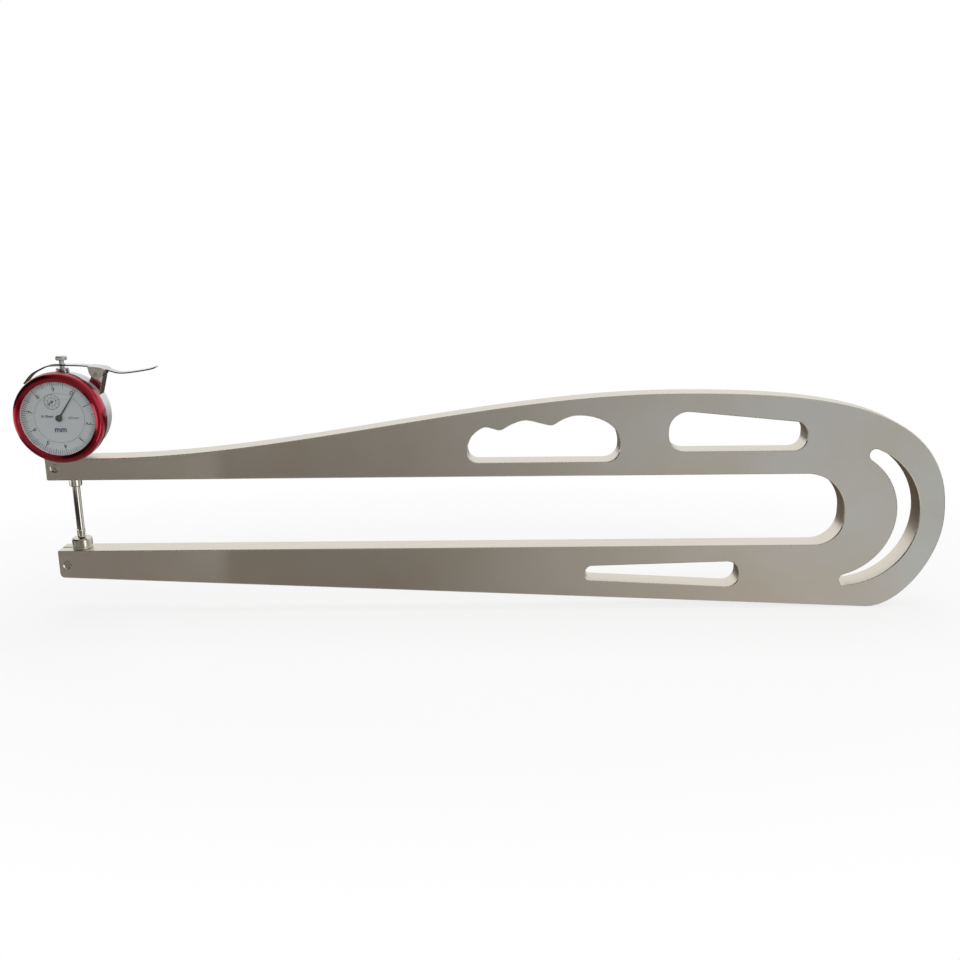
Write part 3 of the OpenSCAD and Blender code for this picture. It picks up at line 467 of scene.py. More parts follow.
# %% Finish: printing inks and hand paint
def thin_coat(name, colour, other, roughness):
    """Ink or paint with a cloudy tone of about half a millimetre"""
    finish, tree, shader = start_finish(name, colour, 0.0, roughness)
    cloud = add(
        tree,
        "ShaderNodeTexNoise",
        inputs={"Vector": in_millimetres(tree), "Scale": 2.0, "Detail": 3.0},
    )
    tone = add(
        tree,
        "ShaderNodeMix",
        settings=TWO_TONES,
        inputs={"Factor": cloud.outputs["Fac"], "A": linear(colour), "B": linear(other)},
    )
    rough = add(
        tree,
        "ShaderNodeMapRange",
        inputs={"Value": cloud.outputs["Fac"], "To Min": roughness - 0.06, "To Max": roughness + 0.06},
    )
    plug(tree, shader, {"Base Color": tone.outputs["Result"], "Roughness": rough.outputs["Result"]})
    return finish


black_ink = thin_coat("black_printing_ink", "1C1D1F", "2A2B2D", 0.4)
# The grey is not ink on the real dial: it is painted shadow for the gap between disc and ring.
gap_shadow_grey = thin_coat("grey_painted_gap_shadow", "77797B", "858789", 0.4)
blue_ink = thin_coat("dark_blue_printing_ink", "0B154A", "121E5A", 0.4)
hand_paint = thin_coat("satin_black_hand_paint", "0C0C0D", "141415", 0.55)
print(black_ink.name, blue_ink.name, hand_paint.name)

# %% [markdown]
# ## The crystal
# The crystal is a clear acrylic disc, 1.2 mm thick, with an IOR of 1.49. Acrylic is never
# quite clean: faint wipe marks a few millimetres long make it a touch rougher in places.
# Light has to reach the dial through it, so shadow rays pass through as they would
# through any thin clear sheet.

# %% Finish: clear acrylic
clear_acrylic, tree, shader = start_finish("clear_acrylic", "FAFCFC", 0.0, 0.02)
shader.inputs["IOR"].default_value = 1.49
shader.inputs["Transmission Weight"].default_value = 1.0
wipes = add(
    tree,
    "ShaderNodeTexNoise",
    inputs={"Vector": in_millimetres(tree, (0.12, 1, 1)), "Scale": 0.5, "Detail": 2.0},
)
wipe_rough = add(
    tree,
    "ShaderNodeMapRange",
    inputs={
        "Value": wipes.outputs["Fac"],
        "From Min": 0.4,
        "From Max": 0.8,
        "To Min": 0.01,
        "To Max": 0.05,
    },
)
plug(tree, shader, {"Roughness": wipe_rough.outputs["Result"]})
rays = add(tree, "ShaderNodeLightPath")
clear = add(tree, "ShaderNodeBsdfTransparent")
both = add(
    tree,
    "ShaderNodeMixShader",
    inputs={0: rays.outputs["Is Shadow Ray"], 1: shader.outputs["BSDF"], 2: clear.outputs["BSDF"]},
)
tree.links.new(both.outputs["Shader"], tree.nodes["Material Output"].inputs["Surface"])
print(clear_acrylic.name)

# %% [markdown]
# ## Finishing a piece
# Every new piece ends the same way. Its bmesh becomes a mesh whose place is already in
# its vertices, so the object itself stays at the origin. Faces are smooth, and edges
# sharper than 24 degrees stay crisp. A thin chamfer would bend the light on the large
# face beside it, so normals are weighted by the area of the faces. Then the piece is hung
# on the body that carries it, and the CAD nodes that it stands for are hidden.


# %% Helpers for pieces
def finish_piece(bm, name, finishes, body, stands_for=(), crisp=24):
    """The object made from a bmesh, riding on its body"""
    bmesh.ops.remove_doubles(bm, verts=bm.verts, dist=MERGE_WITHIN)
    mesh = bpy.data.meshes.new(name)
    bm.to_mesh(mesh)
    bm.free()
    piece = bpy.data.objects.new(name, mesh)
    bpy.context.scene.collection.objects.link(piece)
    for finish in finishes:
        mesh.materials.append(finish)
    mesh.polygons.foreach_set("use_smooth", [True] * len(mesh.polygons))
    mesh.set_sharp_from_angle(angle=math.radians(crisp))
    evened = piece.modifiers.new("large_faces_stay_flat", "WEIGHTED_NORMAL")
    evened.mode = "FACE_AREA"
    evened.weight = 100
    evened.keep_sharp = True
    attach(piece, body)
    if stands_for:
        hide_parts(*stands_for)
    print(name, "faces:", len(mesh.polygons), "on", body)
    return piece


def copy_of(node):
    """A bmesh of a CAD node's mesh, with its loose triangles joined and its flat faces made whole"""
    bm = bmesh.new()
    bm.from_mesh(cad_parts[node].data)
    bmesh.ops.remove_doubles(bm, verts=bm.verts, dist=MERGE_WITHIN)
    bmesh.ops.dissolve_limit(bm, angle_limit=math.radians(0.1), verts=bm.verts, edges=bm.edges)
    return bm


def break_edges(bm, width, sharper_than=35, segments=1, off_middle=0.0):
    """Small chamfer or rounding on each edge sharper than an angle and away from the middle plane"""
    sharp = [
        e
        for e in bm.edges
        if e.is_manifold
        and e.calc_face_angle() > math.radians(sharper_than)
        and min(abs(v.co.y) for v in e.verts) >= off_middle
    ]
    bmesh.ops.bevel(
        bm,
        geom=sharp,
        offset=width,
        offset_type="OFFSET",
        segments=segments,
        profile=0.5,
        affect="EDGES",
        clamp_overlap=False,
        material=-1,
    )
    return len(sharp)


def spin_profile(bm, points, centre=ORIGIN, axis=UP, steps=96):
    """Turns a profile of (radius, place along the axis) once round, as a lathe does"""
    out = Vector((1, 0, 0))
    verts = [bm.verts.new(centre + out * r + axis * h) for r, h in points]
    edges = [bm.edges.new((verts[i], verts[(i + 1) % len(verts)])) for i in range(len(verts))]
    bmesh.ops.spin(
        bm,
        geom=verts + edges,
        cent=centre,
        axis=axis,
        dvec=(0, 0, 0),
        angle=math.tau,
        steps=steps,
        use_merge=True,
        use_normal_flip=False,
        use_duplicate=False,
    )
    bmesh.ops.remove_doubles(bm, verts=bm.verts, dist=MERGE_WITHIN)
    bmesh.ops.recalc_face_normals(bm, faces=bm.faces)


print("pieces are merged within", MERGE_WITHIN / MM, "mm")

# %% [markdown]
# ## The frame plate
# The real plate has its corners broken by a small chamfer all round, on the outline and
# on each slot. It is a bright line in most light, and it is what makes the edge look
# machined. The CAD plate has the exact outline, so a copy of it is chamfered by 0.5 mm.
# Faces, walls and chamfers then get their own finish by the way they point.

# %% Piece: frame plate
PLATE_CHAMFER = 0.5 * MM
FACE, WALL, CHAMFER = 0, 1, 2
bm = copy_of("frame_plate")
print("edges broken:", break_edges(bm, PLATE_CHAMFER, sharper_than=60))
for face in bm.faces:
    tilt = abs(face.normal.y)
    face.material_index = FACE if tilt > 0.98 else (WALL if tilt < 0.2 else CHAMFER)
finish_piece(
    bm,
    "frame_plate_chamfered",
    [blasted_aluminium, milled_aluminium, cut_chamfer],
    "frame",
    ["frame_plate"],
    crisp=20,
)

# %% [markdown]
# ## The anvil
# The anvil is a round steel table that is clamped in the lower arm. Its measuring face is
# lapped and has a small chamfer round it, and its side keeps a shallow groove from the
# turning tool. A lathe makes it, so it is a profile that is spun round the measuring axis.

# %% Piece: anvil
anvil_low, anvil_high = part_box("anvil")
anvil_r = (anvil_high.x - anvil_low.x) / 2
SHANK_R = 3.0 * MM
table_z = anvil_high.z - 7.0 * MM
GROOVE = 0.2 * MM
bm = bmesh.new()
spin_profile(
    bm,
    [
        (0, 0),
        (anvil_r - 0.7 * MM, 0),
        (anvil_r - 0.08 * MM, -0.6 * MM),
        (anvil_r, -0.72 * MM),
        (anvil_r, -4.9 * MM),
        (anvil_r - GROOVE, -5.1 * MM),
        (anvil_r - GROOVE, -5.4 * MM),
        (anvil_r, -5.6 * MM),
        (anvil_r, table_z + 0.4 * MM),
        (anvil_r - 0.4 * MM, table_z),
        (SHANK_R, table_z),
        (SHANK_R, anvil_low.z),
        (0, anvil_low.z),
    ],
)
finish_piece(bm, "anvil_turned", [ground_steel], "frame", ["anvil"])

# %% [markdown]
# ## The contact point, with its knurl
# The contact point screws into the rod by hand, so its middle is knurled: 26 straight
# ridges, pressed in by a wheel. Its face is a shallow dome that is lapped to a mirror.
# The body is spun with four steps to each ridge, and two of the four are then drawn
# inwards between the two ends of the knurl.

# %% Piece: contact point
RIDGES = 26
KNURL_DEPTH = 0.2 * MM
NEAR = 0.02 * MM
TOUCH = 0.001 * MM
KNURL_LOW = 1.45 * MM
KNURL_HIGH = 4.75 * MM
THREAD_R = 1.25 * MM
DOME = 7.0 * MM
DOME_STEPS = 8
contact_low, contact_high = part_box("contact_point")
contact_r = (contact_high.x - contact_low.x) / 2
dome_edge = math.asin((contact_r - 0.1 * MM) / DOME)
dome_angles = [dome_edge * i / DOME_STEPS for i in range(DOME_STEPS + 1)]
dome = [(DOME * math.sin(a), contact_low.z + DOME * (1 - math.cos(a))) for a in dome_angles]
bm = bmesh.new()
spin_profile(
    bm,
    dome
    + [
        (contact_r, 0.75 * MM),
        (contact_r, 1.2 * MM),
        (contact_r, KNURL_LOW),
        (contact_r, KNURL_HIGH),
        (contact_r, 5.0 * MM),
        (contact_r, 5.4 * MM),
        (2.45 * MM, 5.95 * MM),
        (THREAD_R, 5.98 * MM),
        (THREAD_R, contact_high.z),
        (0, contact_high.z),
    ],
    steps=RIDGES * 4,
)


def press_knurl(bm, radius, low, high, ridges, depth):
    """Draws every second pair of columns inwards between two heights and counts the moved points"""
    pressed = 0
    for vert in bm.verts:
        r = math.hypot(vert.co.x, vert.co.y)
        if abs(r - radius) < NEAR and low - TOUCH < vert.co.z < high + TOUCH:
            column = round(math.atan2(vert.co.y, vert.co.x) / math.tau * ridges * 4) % 4
            if column in (2, 3):
                vert.co.x *= (r - depth) / r
                vert.co.y *= (r - depth) / r
                pressed += 1
    return pressed


pressed = press_knurl(bm, contact_r, KNURL_LOW, KNURL_HIGH, RIDGES, KNURL_DEPTH)
print("knurl points pressed:", pressed)
finish_piece(bm, "contact_point_knurled", [ground_steel], "plunger", ["contact_point"])

# %% [markdown]
# ## The rod and the stem
# The extension rod carries the contact point down into the throat. It is ground steel rod
# with both ends broken. The stem is the polished 8 mm tube that the frame clamps, and its
# lower end has a neat chamfer and a countersunk bore that the rod slides out of.

# %% Pieces: extension rod and stem
rod_low, rod_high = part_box("extension_rod")
rod_r = (rod_high.x - rod_low.x) / 2
shoulder = rod_high.z - 6.0 * MM
SOCKET_R = 1.3 * MM
socket_top = rod_low.z + 5.5 * MM
BROKEN = 0.15 * MM
bm = bmesh.new()
spin_profile(
    bm,
    [
        (SOCKET_R, rod_low.z),
        (rod_r - BROKEN, rod_low.z),
        (rod_r, rod_low.z + BROKEN),
        (rod_r, shoulder - BROKEN),
        (rod_r - BROKEN, shoulder),
        (THREAD_R, shoulder),
        (THREAD_R, rod_high.z),
        (0, rod_high.z),
        (0, socket_top),
        (SOCKET_R, socket_top),
    ],
    steps=64,
)
finish_piece(bm, "extension_rod_ground", [polished_steel], "plunger", ["extension_rod"])

stem_low, stem_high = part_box("stem")
stem_r = (stem_high.x - stem_low.x) / 2
bore_r = rod_r + 0.03 * MM
STEM_CHAMFER = 0.6 * MM
COUNTERSINK = 0.35 * MM
bm = bmesh.new()
spin_profile(
    bm,
    [
        (bore_r, stem_low.z + COUNTERSINK),
        (bore_r + COUNTERSINK, stem_low.z),
        (stem_r - STEM_CHAMFER, stem_low.z),
        (stem_r, stem_low.z + STEM_CHAMFER),
        (stem_r, stem_high.z - 0.2 * MM),
        (stem_r - 0.2 * MM, stem_high.z),
        (bore_r, stem_high.z),
    ],
)
finish_piece(bm, "stem_polished", [polished_steel], "frame", ["stem"])

# %% [markdown]
# ## The bush and the plunger's cap
# Above the case, a chromed bush guides the neck of the spindle, and a round cap ends it.
# The cap is what a finger lifts, so its rim is knurled with 30 straight ridges between
# two smooth edges, and its top is a little domed.

# %% Pieces: top bush and plunger cap
bush_low, bush_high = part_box("top_bush")
bush_r = (bush_high.x - bush_low.x) / 2
seat_z = bush_low.z + 1.5 * MM
NECK_BORE = 1.53 * MM
bm = bmesh.new()
spin_profile(
    bm,
    [
        (NECK_BORE, bush_low.z),
        (bush_r - 1.0 * MM, bush_low.z),
        (bush_r - 1.0 * MM, seat_z),
        (bush_r - 0.15 * MM, seat_z),
        (bush_r, seat_z + 0.15 * MM),
        (bush_r, bush_high.z - 1.3 * MM),
        (bush_r - 0.45 * MM, bush_high.z - 1.1 * MM),
        (bush_r - 0.45 * MM, bush_high.z - 0.9 * MM),
        (bush_r - 0.1 * MM, bush_high.z - 0.7 * MM),
        (bush_r - 0.1 * MM, bush_high.z - 0.35 * MM),
        (bush_r - 0.45 * MM, bush_high.z),
        (NECK_BORE + 0.3 * MM, bush_high.z),
        (NECK_BORE, bush_high.z - 0.3 * MM),
    ],
)
finish_piece(bm, "top_bush_turned", [bright_chrome], "frame", ["top_bush"])

cap_low, cap_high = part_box("plunger_cap")
cap_r = (cap_high.x - cap_low.x) / 2
CAP_RIDGES = 30
CAP_KNURL_DEPTH = 0.22 * MM
cap_knurl_low = cap_low.z + 0.55 * MM
cap_knurl_high = cap_high.z - 0.85 * MM
NECK_R = 1.52 * MM
bm = bmesh.new()
spin_profile(
    bm,
    [
        (NECK_R, cap_low.z + 1.7 * MM),
        (NECK_R, cap_low.z),
        (cap_r - 0.35 * MM, cap_low.z),
        (cap_r, cap_low.z + 0.3 * MM),
        (cap_r, cap_low.z + 0.45 * MM),
        (cap_r, cap_knurl_low),
        (cap_r, cap_knurl_high),
        (cap_r, cap_high.z - 0.75 * MM),
        (cap_r - 0.05 * MM, cap_high.z - 0.6 * MM),
        (cap_r - 0.45 * MM, cap_high.z - 0.2 * MM),
        (cap_r - 1.2 * MM, cap_high.z - 0.08 * MM),
        (cap_r - 2.4 * MM, cap_high.z - 0.02 * MM),
        (0, cap_high.z),
        (0, cap_low.z + 1.7 * MM),
    ],
    steps=CAP_RIDGES * 4,
)
press_knurl(bm, cap_r, cap_knurl_low, cap_knurl_high, CAP_RIDGES, CAP_KNURL_DEPTH)
finish_piece(bm, "plunger_cap_knurled", [bright_chrome], "plunger", ["plunger_cap"])

# %% [markdown]
# ## The case and its back cover
# The case is turned outside, so its corners are rounded and nothing on it is sharp. The
# cover closes its back, and a shallow step leaves a raised rim on it. Both keep the CAD
# shape, copied, with their edges rounded by a fifth of a millimetre or a little less.

# %% Pieces: case and back cover
bm = copy_of("gauge_case")
print("case edges broken:", break_edges(bm, 0.2 * MM, sharper_than=50, segments=2))
finish_piece(bm, "gauge_case_lacquered", [silver_lacquer], "frame", ["gauge_case"])

bm = copy_of("back_cover")
print("cover edges broken:", break_edges(bm, 0.15 * MM, sharper_than=40, segments=2))
finish_piece(bm, "back_cover_lacquered", [silver_lacquer], "frame", ["back_cover"])

# %% [markdown]
# ## The bezel
# The bezel is the red ring that turns the dial to zero. From the front there are three
# bands: a cone that leads in to the crystal, a flat-topped crown, and a long rounded
# shoulder down to the rim. A fine line is turned between the crown and the shoulder, and
# the rear edge is rounded, which catches a thin bright line. The profile is drawn on the
# CAD bezel's own radii and depths and spun round the dial's axis.

# %% Piece: bezel
bezel_r = (bezel_high.x - bezel_low.x) / 2
front, back = bezel_low.y, bezel_high.y
LIP_R = 23.5 * MM
glass_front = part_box("crystal")[0].y
glass_r = (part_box("crystal")[1].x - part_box("crystal")[0].x) / 2 + 0.02 * MM
sheet_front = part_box("dial_ring")[0].y
CASE_BORE = 26.08 * MM
SHOULDER_STEPS = 14
REAR_ROUND = 0.8 * MM


def on_curve(p0, p1, p2, p3, t):
    """A point of a cubic curve"""
    s = 1 - t
    return tuple(
        s**3 * a + 3 * s * s * t * b + 3 * s * t * t * c + t**3 * d
        for a, b, c, d in zip(p0, p1, p2, p3)
    )


shoulder_curve = [
    on_curve(
        (bezel_r, front + 5.4 * MM),
        (bezel_r, front + 2.4 * MM),
        (bezel_r - 1.1 * MM, front + 0.25 * MM),
        (bezel_r - 2.7 * MM, front + 0.12 * MM),
        i / SHOULDER_STEPS,
    )
    for i in range(SHOULDER_STEPS + 1)
]
rear_round = [
    (bezel_r - REAR_ROUND * (1 - math.sin(a)), back - REAR_ROUND * (1 - math.cos(a)))
    for a in [math.radians(9 * i) for i in range(11)]
]
bm = bmesh.new()
spin_profile(
    bm,
    [(CASE_BORE, back)]
    + rear_round
    + shoulder_curve
    + [
        (bezel_r - 2.78 * MM, front + 0.2 * MM),
        (bezel_r - 2.9 * MM, front + 0.2 * MM),
        (bezel_r - 2.98 * MM, front + 0.05 * MM),
        (bezel_r - 3.15 * MM, front),
        (bezel_r - 3.45 * MM, front),
        (bezel_r - 3.65 * MM, front + 0.06 * MM),
        (LIP_R + 0.15 * MM, glass_front - 0.28 * MM),
        (LIP_R, glass_front - 0.12 * MM),
        (LIP_R, glass_front),
        (glass_r, glass_front),
        (glass_r, sheet_front),
        (glass_r + 0.4 * MM, sheet_front),
        (glass_r + 0.4 * MM, sheet_front + 0.55 * MM),
        (CASE_BORE, sheet_front + 0.55 * MM),
    ],
    DIAL,
    BACKWARDS,
    steps=192,
)
finish_piece(bm, "bezel_anodised", [red_anodised], "bezel", ["bezel"])

# %% [markdown]
# ## The crystal
# The crystal is a flat acrylic disc with polished, slightly broken edges. It is spun
# like the rest and sits behind the lip of the bezel, against the spacer ring.

# %% Piece: crystal
crystal_low, crystal_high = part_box("crystal")
crystal_r = (crystal_high.x - crystal_low.x) / 2
POLISHED = 0.1 * MM
bm = bmesh.new()
spin_profile(
    bm,
    [
        (0, crystal_low.y),
        (crystal_r - POLISHED, crystal_low.y),
        (crystal_r, crystal_low.y + POLISHED),
        (crystal_r, crystal_high.y - POLISHED),
        (crystal_r - POLISHED, crystal_high.y),
        (0, crystal_high.y),
    ],
    DIAL,
    BACKWARDS,
)
finish_piece(bm, "crystal_disc", [clear_acrylic], "bezel", ["crystal"])

# %% [markdown]
# ## The printed dial
# Ink stands a few hundredths of a millimetre proud of the enamel. Each mark is a very
# thin solid on the dial's face, so it turns with the sheet that it is printed on. The
# outer ring has a hundred lines, one for each hundredth of a millimetre, and a figure at
# every tenth line. Zero was turned to stand at 30 degrees clockwise from the top.

# %% Helpers for the print
INK = 0.03 * MM
ZERO = 30


def stroke(bm, centre, angle, inner, outer, width):
    """One printed line along a radius; the angle is clockwise from straight up"""
    made = bmesh.ops.create_cube(bm, size=1)["verts"]
    bmesh.ops.scale(bm, verts=made, vec=(width, INK, outer - inner))
    bmesh.ops.translate(bm, verts=made, vec=(0, 0, (outer + inner) / 2))
    bmesh.ops.rotate(bm, verts=made, cent=(0, 0, 0), matrix=Matrix.Rotation(math.radians(angle), 3, "Y"))
    bmesh.ops.translate(bm, verts=made, vec=centre + Vector((0, DIAL_FACE - INK / 2, 0)))


def circle_line(bm, centre, radius, width, steps=96):
    """A thin circle on the dial's face, for print and for painted shadow"""
    spin_profile(
        bm,
        [
            (radius - width / 2, DIAL_FACE - INK),
            (radius + width / 2, DIAL_FACE - INK),
            (radius + width / 2, DIAL_FACE),
            (radius - width / 2, DIAL_FACE),
        ],
        centre,
        BACKWARDS,
        steps=steps,
    )


def figure(bm, text, size, place, bolder=0.0):
    """A printed figure: the text lies flat, is given the ink's thickness and goes where place puts it"""
    curve = bpy.data.curves.new("figure", "FONT")
    curve.body = text
    curve.size = size
    curve.align_x = "CENTER"
    curve.align_y = "CENTER"
    curve.resolution_u = 3
    curve.extrude = INK / 2
    curve.offset = bolder
    holder = bpy.data.objects.new("figure", curve)
    bpy.context.scene.collection.objects.link(holder)
    bpy.context.view_layer.update()
    flat = bpy.data.meshes.new_from_object(holder.evaluated_get(bpy.context.evaluated_depsgraph_get()))
    flat.transform(place)
    bm.from_mesh(flat)
    bpy.data.objects.remove(holder)
    bpy.data.meshes.remove(flat)
    bpy.data.curves.remove(curve)


def on_dial(centre, angle, radius, turn):
    """Where a figure stands: at a radius and an angle clockwise from the top, turned by its own angle"""
    a = math.radians(angle)
    spot = centre + Vector((math.sin(a) * radius, DIAL_FACE - INK / 2, math.cos(a) * radius))
    upright = Matrix.Rotation(math.radians(90), 4, "X")
    return Matrix.Translation(spot) @ Matrix.Rotation(math.radians(turn), 4, "Y") @ upright


print("print thickness", INK)

# %% Piece: the marks of the turning ring
LINES = 100
TENTH, FIFTH, SINGLE = 20.1 * MM, 20.3 * MM, 20.9 * MM
LINES_END = 23.9 * MM
BOLD, FINE = 0.42 * MM, 0.3 * MM
FIGURE_RADIUS = 18.2 * MM
FIGURE_SIZE = 4.1 * MM
bm = bmesh.new()
for line in range(LINES):
    inner = TENTH if line % 10 == 0 else (FIFTH if line % 5 == 0 else SINGLE)
    width = BOLD if line % 5 == 0 else FINE
    stroke(bm, DIAL, ZERO + 360 / LINES * line, inner, LINES_END, width)
for tenth in range(10):
    angle = ZERO + 36 * tenth
    figure(bm, str(tenth), FIGURE_SIZE, on_dial(DIAL, angle, FIGURE_RADIUS, angle), 0.08 * MM)
bmesh.ops.recalc_face_normals(bm, faces=bm.faces)
finish_piece(bm, "ring_marks", [black_ink], "bezel")

# %% [markdown]
# ## The print of the fixed disc
# The disc in the middle doesn't turn. It carries the small dial that counts whole
# millimetres, the division and the range on its two sides, and the unit in dark blue under
# the hub. A thin grey circle round its edge is painted shadow of the gap to the turning ring.

# %% Piece: the marks of the fixed disc
bm = bmesh.new()
circle_line(bm, COUNTER, 4.75 * MM, 0.26 * MM, steps=64)
for whole in range(10):
    angle = 36 * whole
    stroke(bm, COUNTER, angle, 3.6 * MM, 4.65 * MM, 0.24 * MM)
    figure(bm, str((10 - whole) % 10), 1.6 * MM, on_dial(COUNTER, angle, 2.7 * MM, 0), 0.03 * MM)
figure(bm, "0.01mm", 2.1 * MM, on_dial(DIAL, 90, 9.0 * MM, 0), 0.03 * MM)
figure(bm, "0-10mm", 2.2 * MM, on_dial(DIAL, 278, 7.6 * MM, 0), 0.09 * MM)
bmesh.ops.recalc_face_normals(bm, faces=bm.faces)
finish_piece(bm, "disc_marks", [black_ink], "frame")

# A grey circle at the disc's edge: painted shadow of the gap between the disc and the ring.
bm = bmesh.new()
circle_line(bm, DIAL, 15.7 * MM, 0.22 * MM, steps=128)
finish_piece(bm, "disc_gap_painted_shadow_line", [gap_shadow_grey], "frame")

bm = bmesh.new()
figure(bm, "mm", 5.0 * MM, on_dial(DIAL, 180, 7.4 * MM, 0), 0.17 * MM)
bmesh.ops.recalc_face_normals(bm, faces=bm.faces)
finish_piece(bm, "unit_mark", [blue_ink], "frame")

# %% [markdown]
# ## The hands
# The main hand is a long tapered blade with a ridge down its middle, so its two flanks
# catch light differently. It is pressed on a turned hub with a domed cap. The blade is a
# few vertices that are extruded, and the hub is spun. The small hand is made the same
# way, with a short tail.

# %% Pieces: main hand and small hand
EDGE_SHARE = 0.4
RIDGE_INSET = 0.42


def blade(bm, centre, angle, tail, reach, wide, narrow, y_front, y_back):
    """A tapered blade with a ridge, along its angle clockwise from straight up"""
    flat = [(-wide / 2, -tail), (wide / 2, -tail), (narrow / 2, reach), (-narrow / 2, reach)]
    face = bm.faces.new([bm.verts.new((x, y_back, z)) for x, z in flat])
    made = bmesh.ops.extrude_face_region(bm, geom=[face])["geom"]
    top = [g for g in made if isinstance(g, bmesh.types.BMVert)]
    bmesh.ops.translate(bm, verts=top, vec=(0, (y_front - y_back) * EDGE_SHARE, 0))
    top_face = [g for g in made if isinstance(g, bmesh.types.BMFace)][0]
    inset = bmesh.ops.inset_region(
        bm, faces=[top_face], thickness=narrow * RIDGE_INSET, depth=0, use_even_offset=True
    )
    bmesh.ops.translate(bm, verts=list(top_face.verts), vec=(0, (y_front - y_back) * (1 - EDGE_SHARE), 0))
    verts = set(top) | set(face.verts) | set(top_face.verts)
    for ring_face in inset["faces"]:
        verts |= set(ring_face.verts)
    turned_to = Matrix.Rotation(math.radians(angle), 3, "Y")
    bmesh.ops.rotate(bm, verts=list(verts), cent=(0, 0, 0), matrix=turned_to)
    bmesh.ops.translate(bm, verts=list(verts), vec=centre)


HAND_ANGLE = 35
SMALL_HAND_ANGLE = 235
hand_low, hand_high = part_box("main_hand")
blade_back = hand_low.y + 0.7 * MM
bm = bmesh.new()
blade(bm, DIAL, HAND_ANGLE, 0, 21.75 * MM, 1.1 * MM, 0.36 * MM, blade_back - 0.2 * MM, blade_back)
spin_profile(
    bm,
    [
        (0, hand_low.y),
        (1.3 * MM, hand_low.y + 0.03 * MM),
        (1.85 * MM, hand_low.y + 0.14 * MM),
        (2.1 * MM, hand_low.y + 0.32 * MM),
        (2.15 * MM, hand_low.y + 0.5 * MM),
        (2.15 * MM, hand_high.y),
        (0, hand_high.y),
    ],
    DIAL,
    BACKWARDS,
    steps=48,
)
bmesh.ops.recalc_face_normals(bm, faces=bm.faces)
finish_piece(bm, "main_hand_blade", [hand_paint], "centre", ["main_hand"])

tiny_low, tiny_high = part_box("small_hand")
bm = bmesh.new()
blade(bm, COUNTER, SMALL_HAND_ANGLE, 1.2 * MM, 3.55 * MM, 0.7 * MM, 0.26 * MM, tiny_low.y, tiny_high.y)
spin_profile(
    bm,
    [
        (0, tiny_low.y),
        (0.75 * MM, tiny_low.y + 0.02 * MM),
        (0.9 * MM, tiny_low.y + 0.12 * MM),
        (0.9 * MM, tiny_high.y),
        (0, tiny_high.y),
    ],
    COUNTER,
    BACKWARDS,
    steps=32,
)
bmesh.ops.recalc_face_normals(bm, faces=bm.faces)
finish_piece(bm, "small_hand_blade", [hand_paint], "counter", ["small_hand"])

# %% [markdown]
# ## The lifting lever, its bracket and the small fasteners
# The lever is one strip of spring steel that hangs with two ears on a pin. One end is cut
# to a slot round the spindle's neck, under the cap, and a finger presses the other. The
# bracket is folded from sheet and stands on the case. Sheet that is blanked in a press
# has slightly rounded edges, so the CAD shapes are copied and their edges broken by about
# a tenth of a millimetre. The strip's long cut edges are rough, and their finish is given a
# near-black tone as painted shade, so the thin edges read dark beside the plated faces.
# Screws get broken edges too, because a turned head is never left sharp.


# %% Pieces: lever, bracket, pin and screws
def broken_copy(node, name, finish, width, segments=2):
    """A CAD node's shape on the frame with its sharp edges rounded, which stands for the node"""
    bm = copy_of(node)
    break_edges(bm, width, sharper_than=40, segments=segments)
    finish_piece(bm, name, [finish], "frame", [node])


STRIP_EDGE = 2.5 * MM
INSIDE_EARS = 3.3 * MM
bm = copy_of("lifting_lever")
break_edges(bm, 0.06 * MM, sharper_than=50, off_middle=STRIP_EDGE)
# Faces along the strip's cut edges get the near-black edge finish, which is painted shade.
for face in bm.faces:
    if abs(face.normal.y) > 0.9 and abs(face.calc_center_median().y) < INSIDE_EARS:
        face.material_index = 1
finish_piece(
    bm, "lifting_lever_bent", [lever_steel, edge_steel_with_painted_shade], "lever", ["lifting_lever"]
)

broken_copy("lever_bracket", "lever_bracket_folded", bright_chrome, 0.1 * MM)
broken_copy("lever_pin", "lever_pin_riveted", screw_steel, 0.12 * MM, segments=3)
broken_copy("bracket_screw", "bracket_screw_head", screw_steel, 0.08 * MM)
broken_copy("gauge_clamp_screw", "gauge_clamp_screw_socket", screw_steel, 0.15 * MM)
broken_copy("anvil_clamp_screw", "anvil_clamp_screw_socket", screw_steel, 0.15 * MM)
broken_copy("back_cover_screws", "back_cover_screws_slotted", screw_steel, 0.06 * MM)

# %% [markdown]
# ## The nodes that stay
# The spindle, the dial sheets and the whole movement keep their CAD solids. Their shapes
# are exact already, most of them are shut inside the case, and each gets its real finish.

# %% Finishes for the nodes that stay
kept = [
    (polished_steel, ["spindle", "counter_arbor", "centre_arbor", "hairspring_arbor"]),
    (screw_steel, ["guide_pin", "spring_post", "plate_screws", "bridge_screws", "rear_cock_screws"]),
    (blued_steel, ["bezel_snap_ring", "return_spring", "hairspring"]),
    (grained_brass, ["main_plate", "movement_pillars", "movement_bridge", "rear_cock"]),
    (grained_brass, ["guide_rail", "hairspring_stud", "counter_wheel", "hairspring_wheel"]),
    (dial_enamel, ["dial_ring", "dial_centre_disc"]),
    (silver_lacquer, ["spacer_ring"]),
]
finished = []
for finish, nodes in kept:
    for node in nodes:
        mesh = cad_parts[node].data
        mesh.materials.clear()
        mesh.materials.append(finish)
        finished.append(node)
shown = [n for n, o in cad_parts.items() if not o.hide_render]
print("nodes that show:", len(shown), "without a finish here:", sorted(set(shown) - set(finished)))
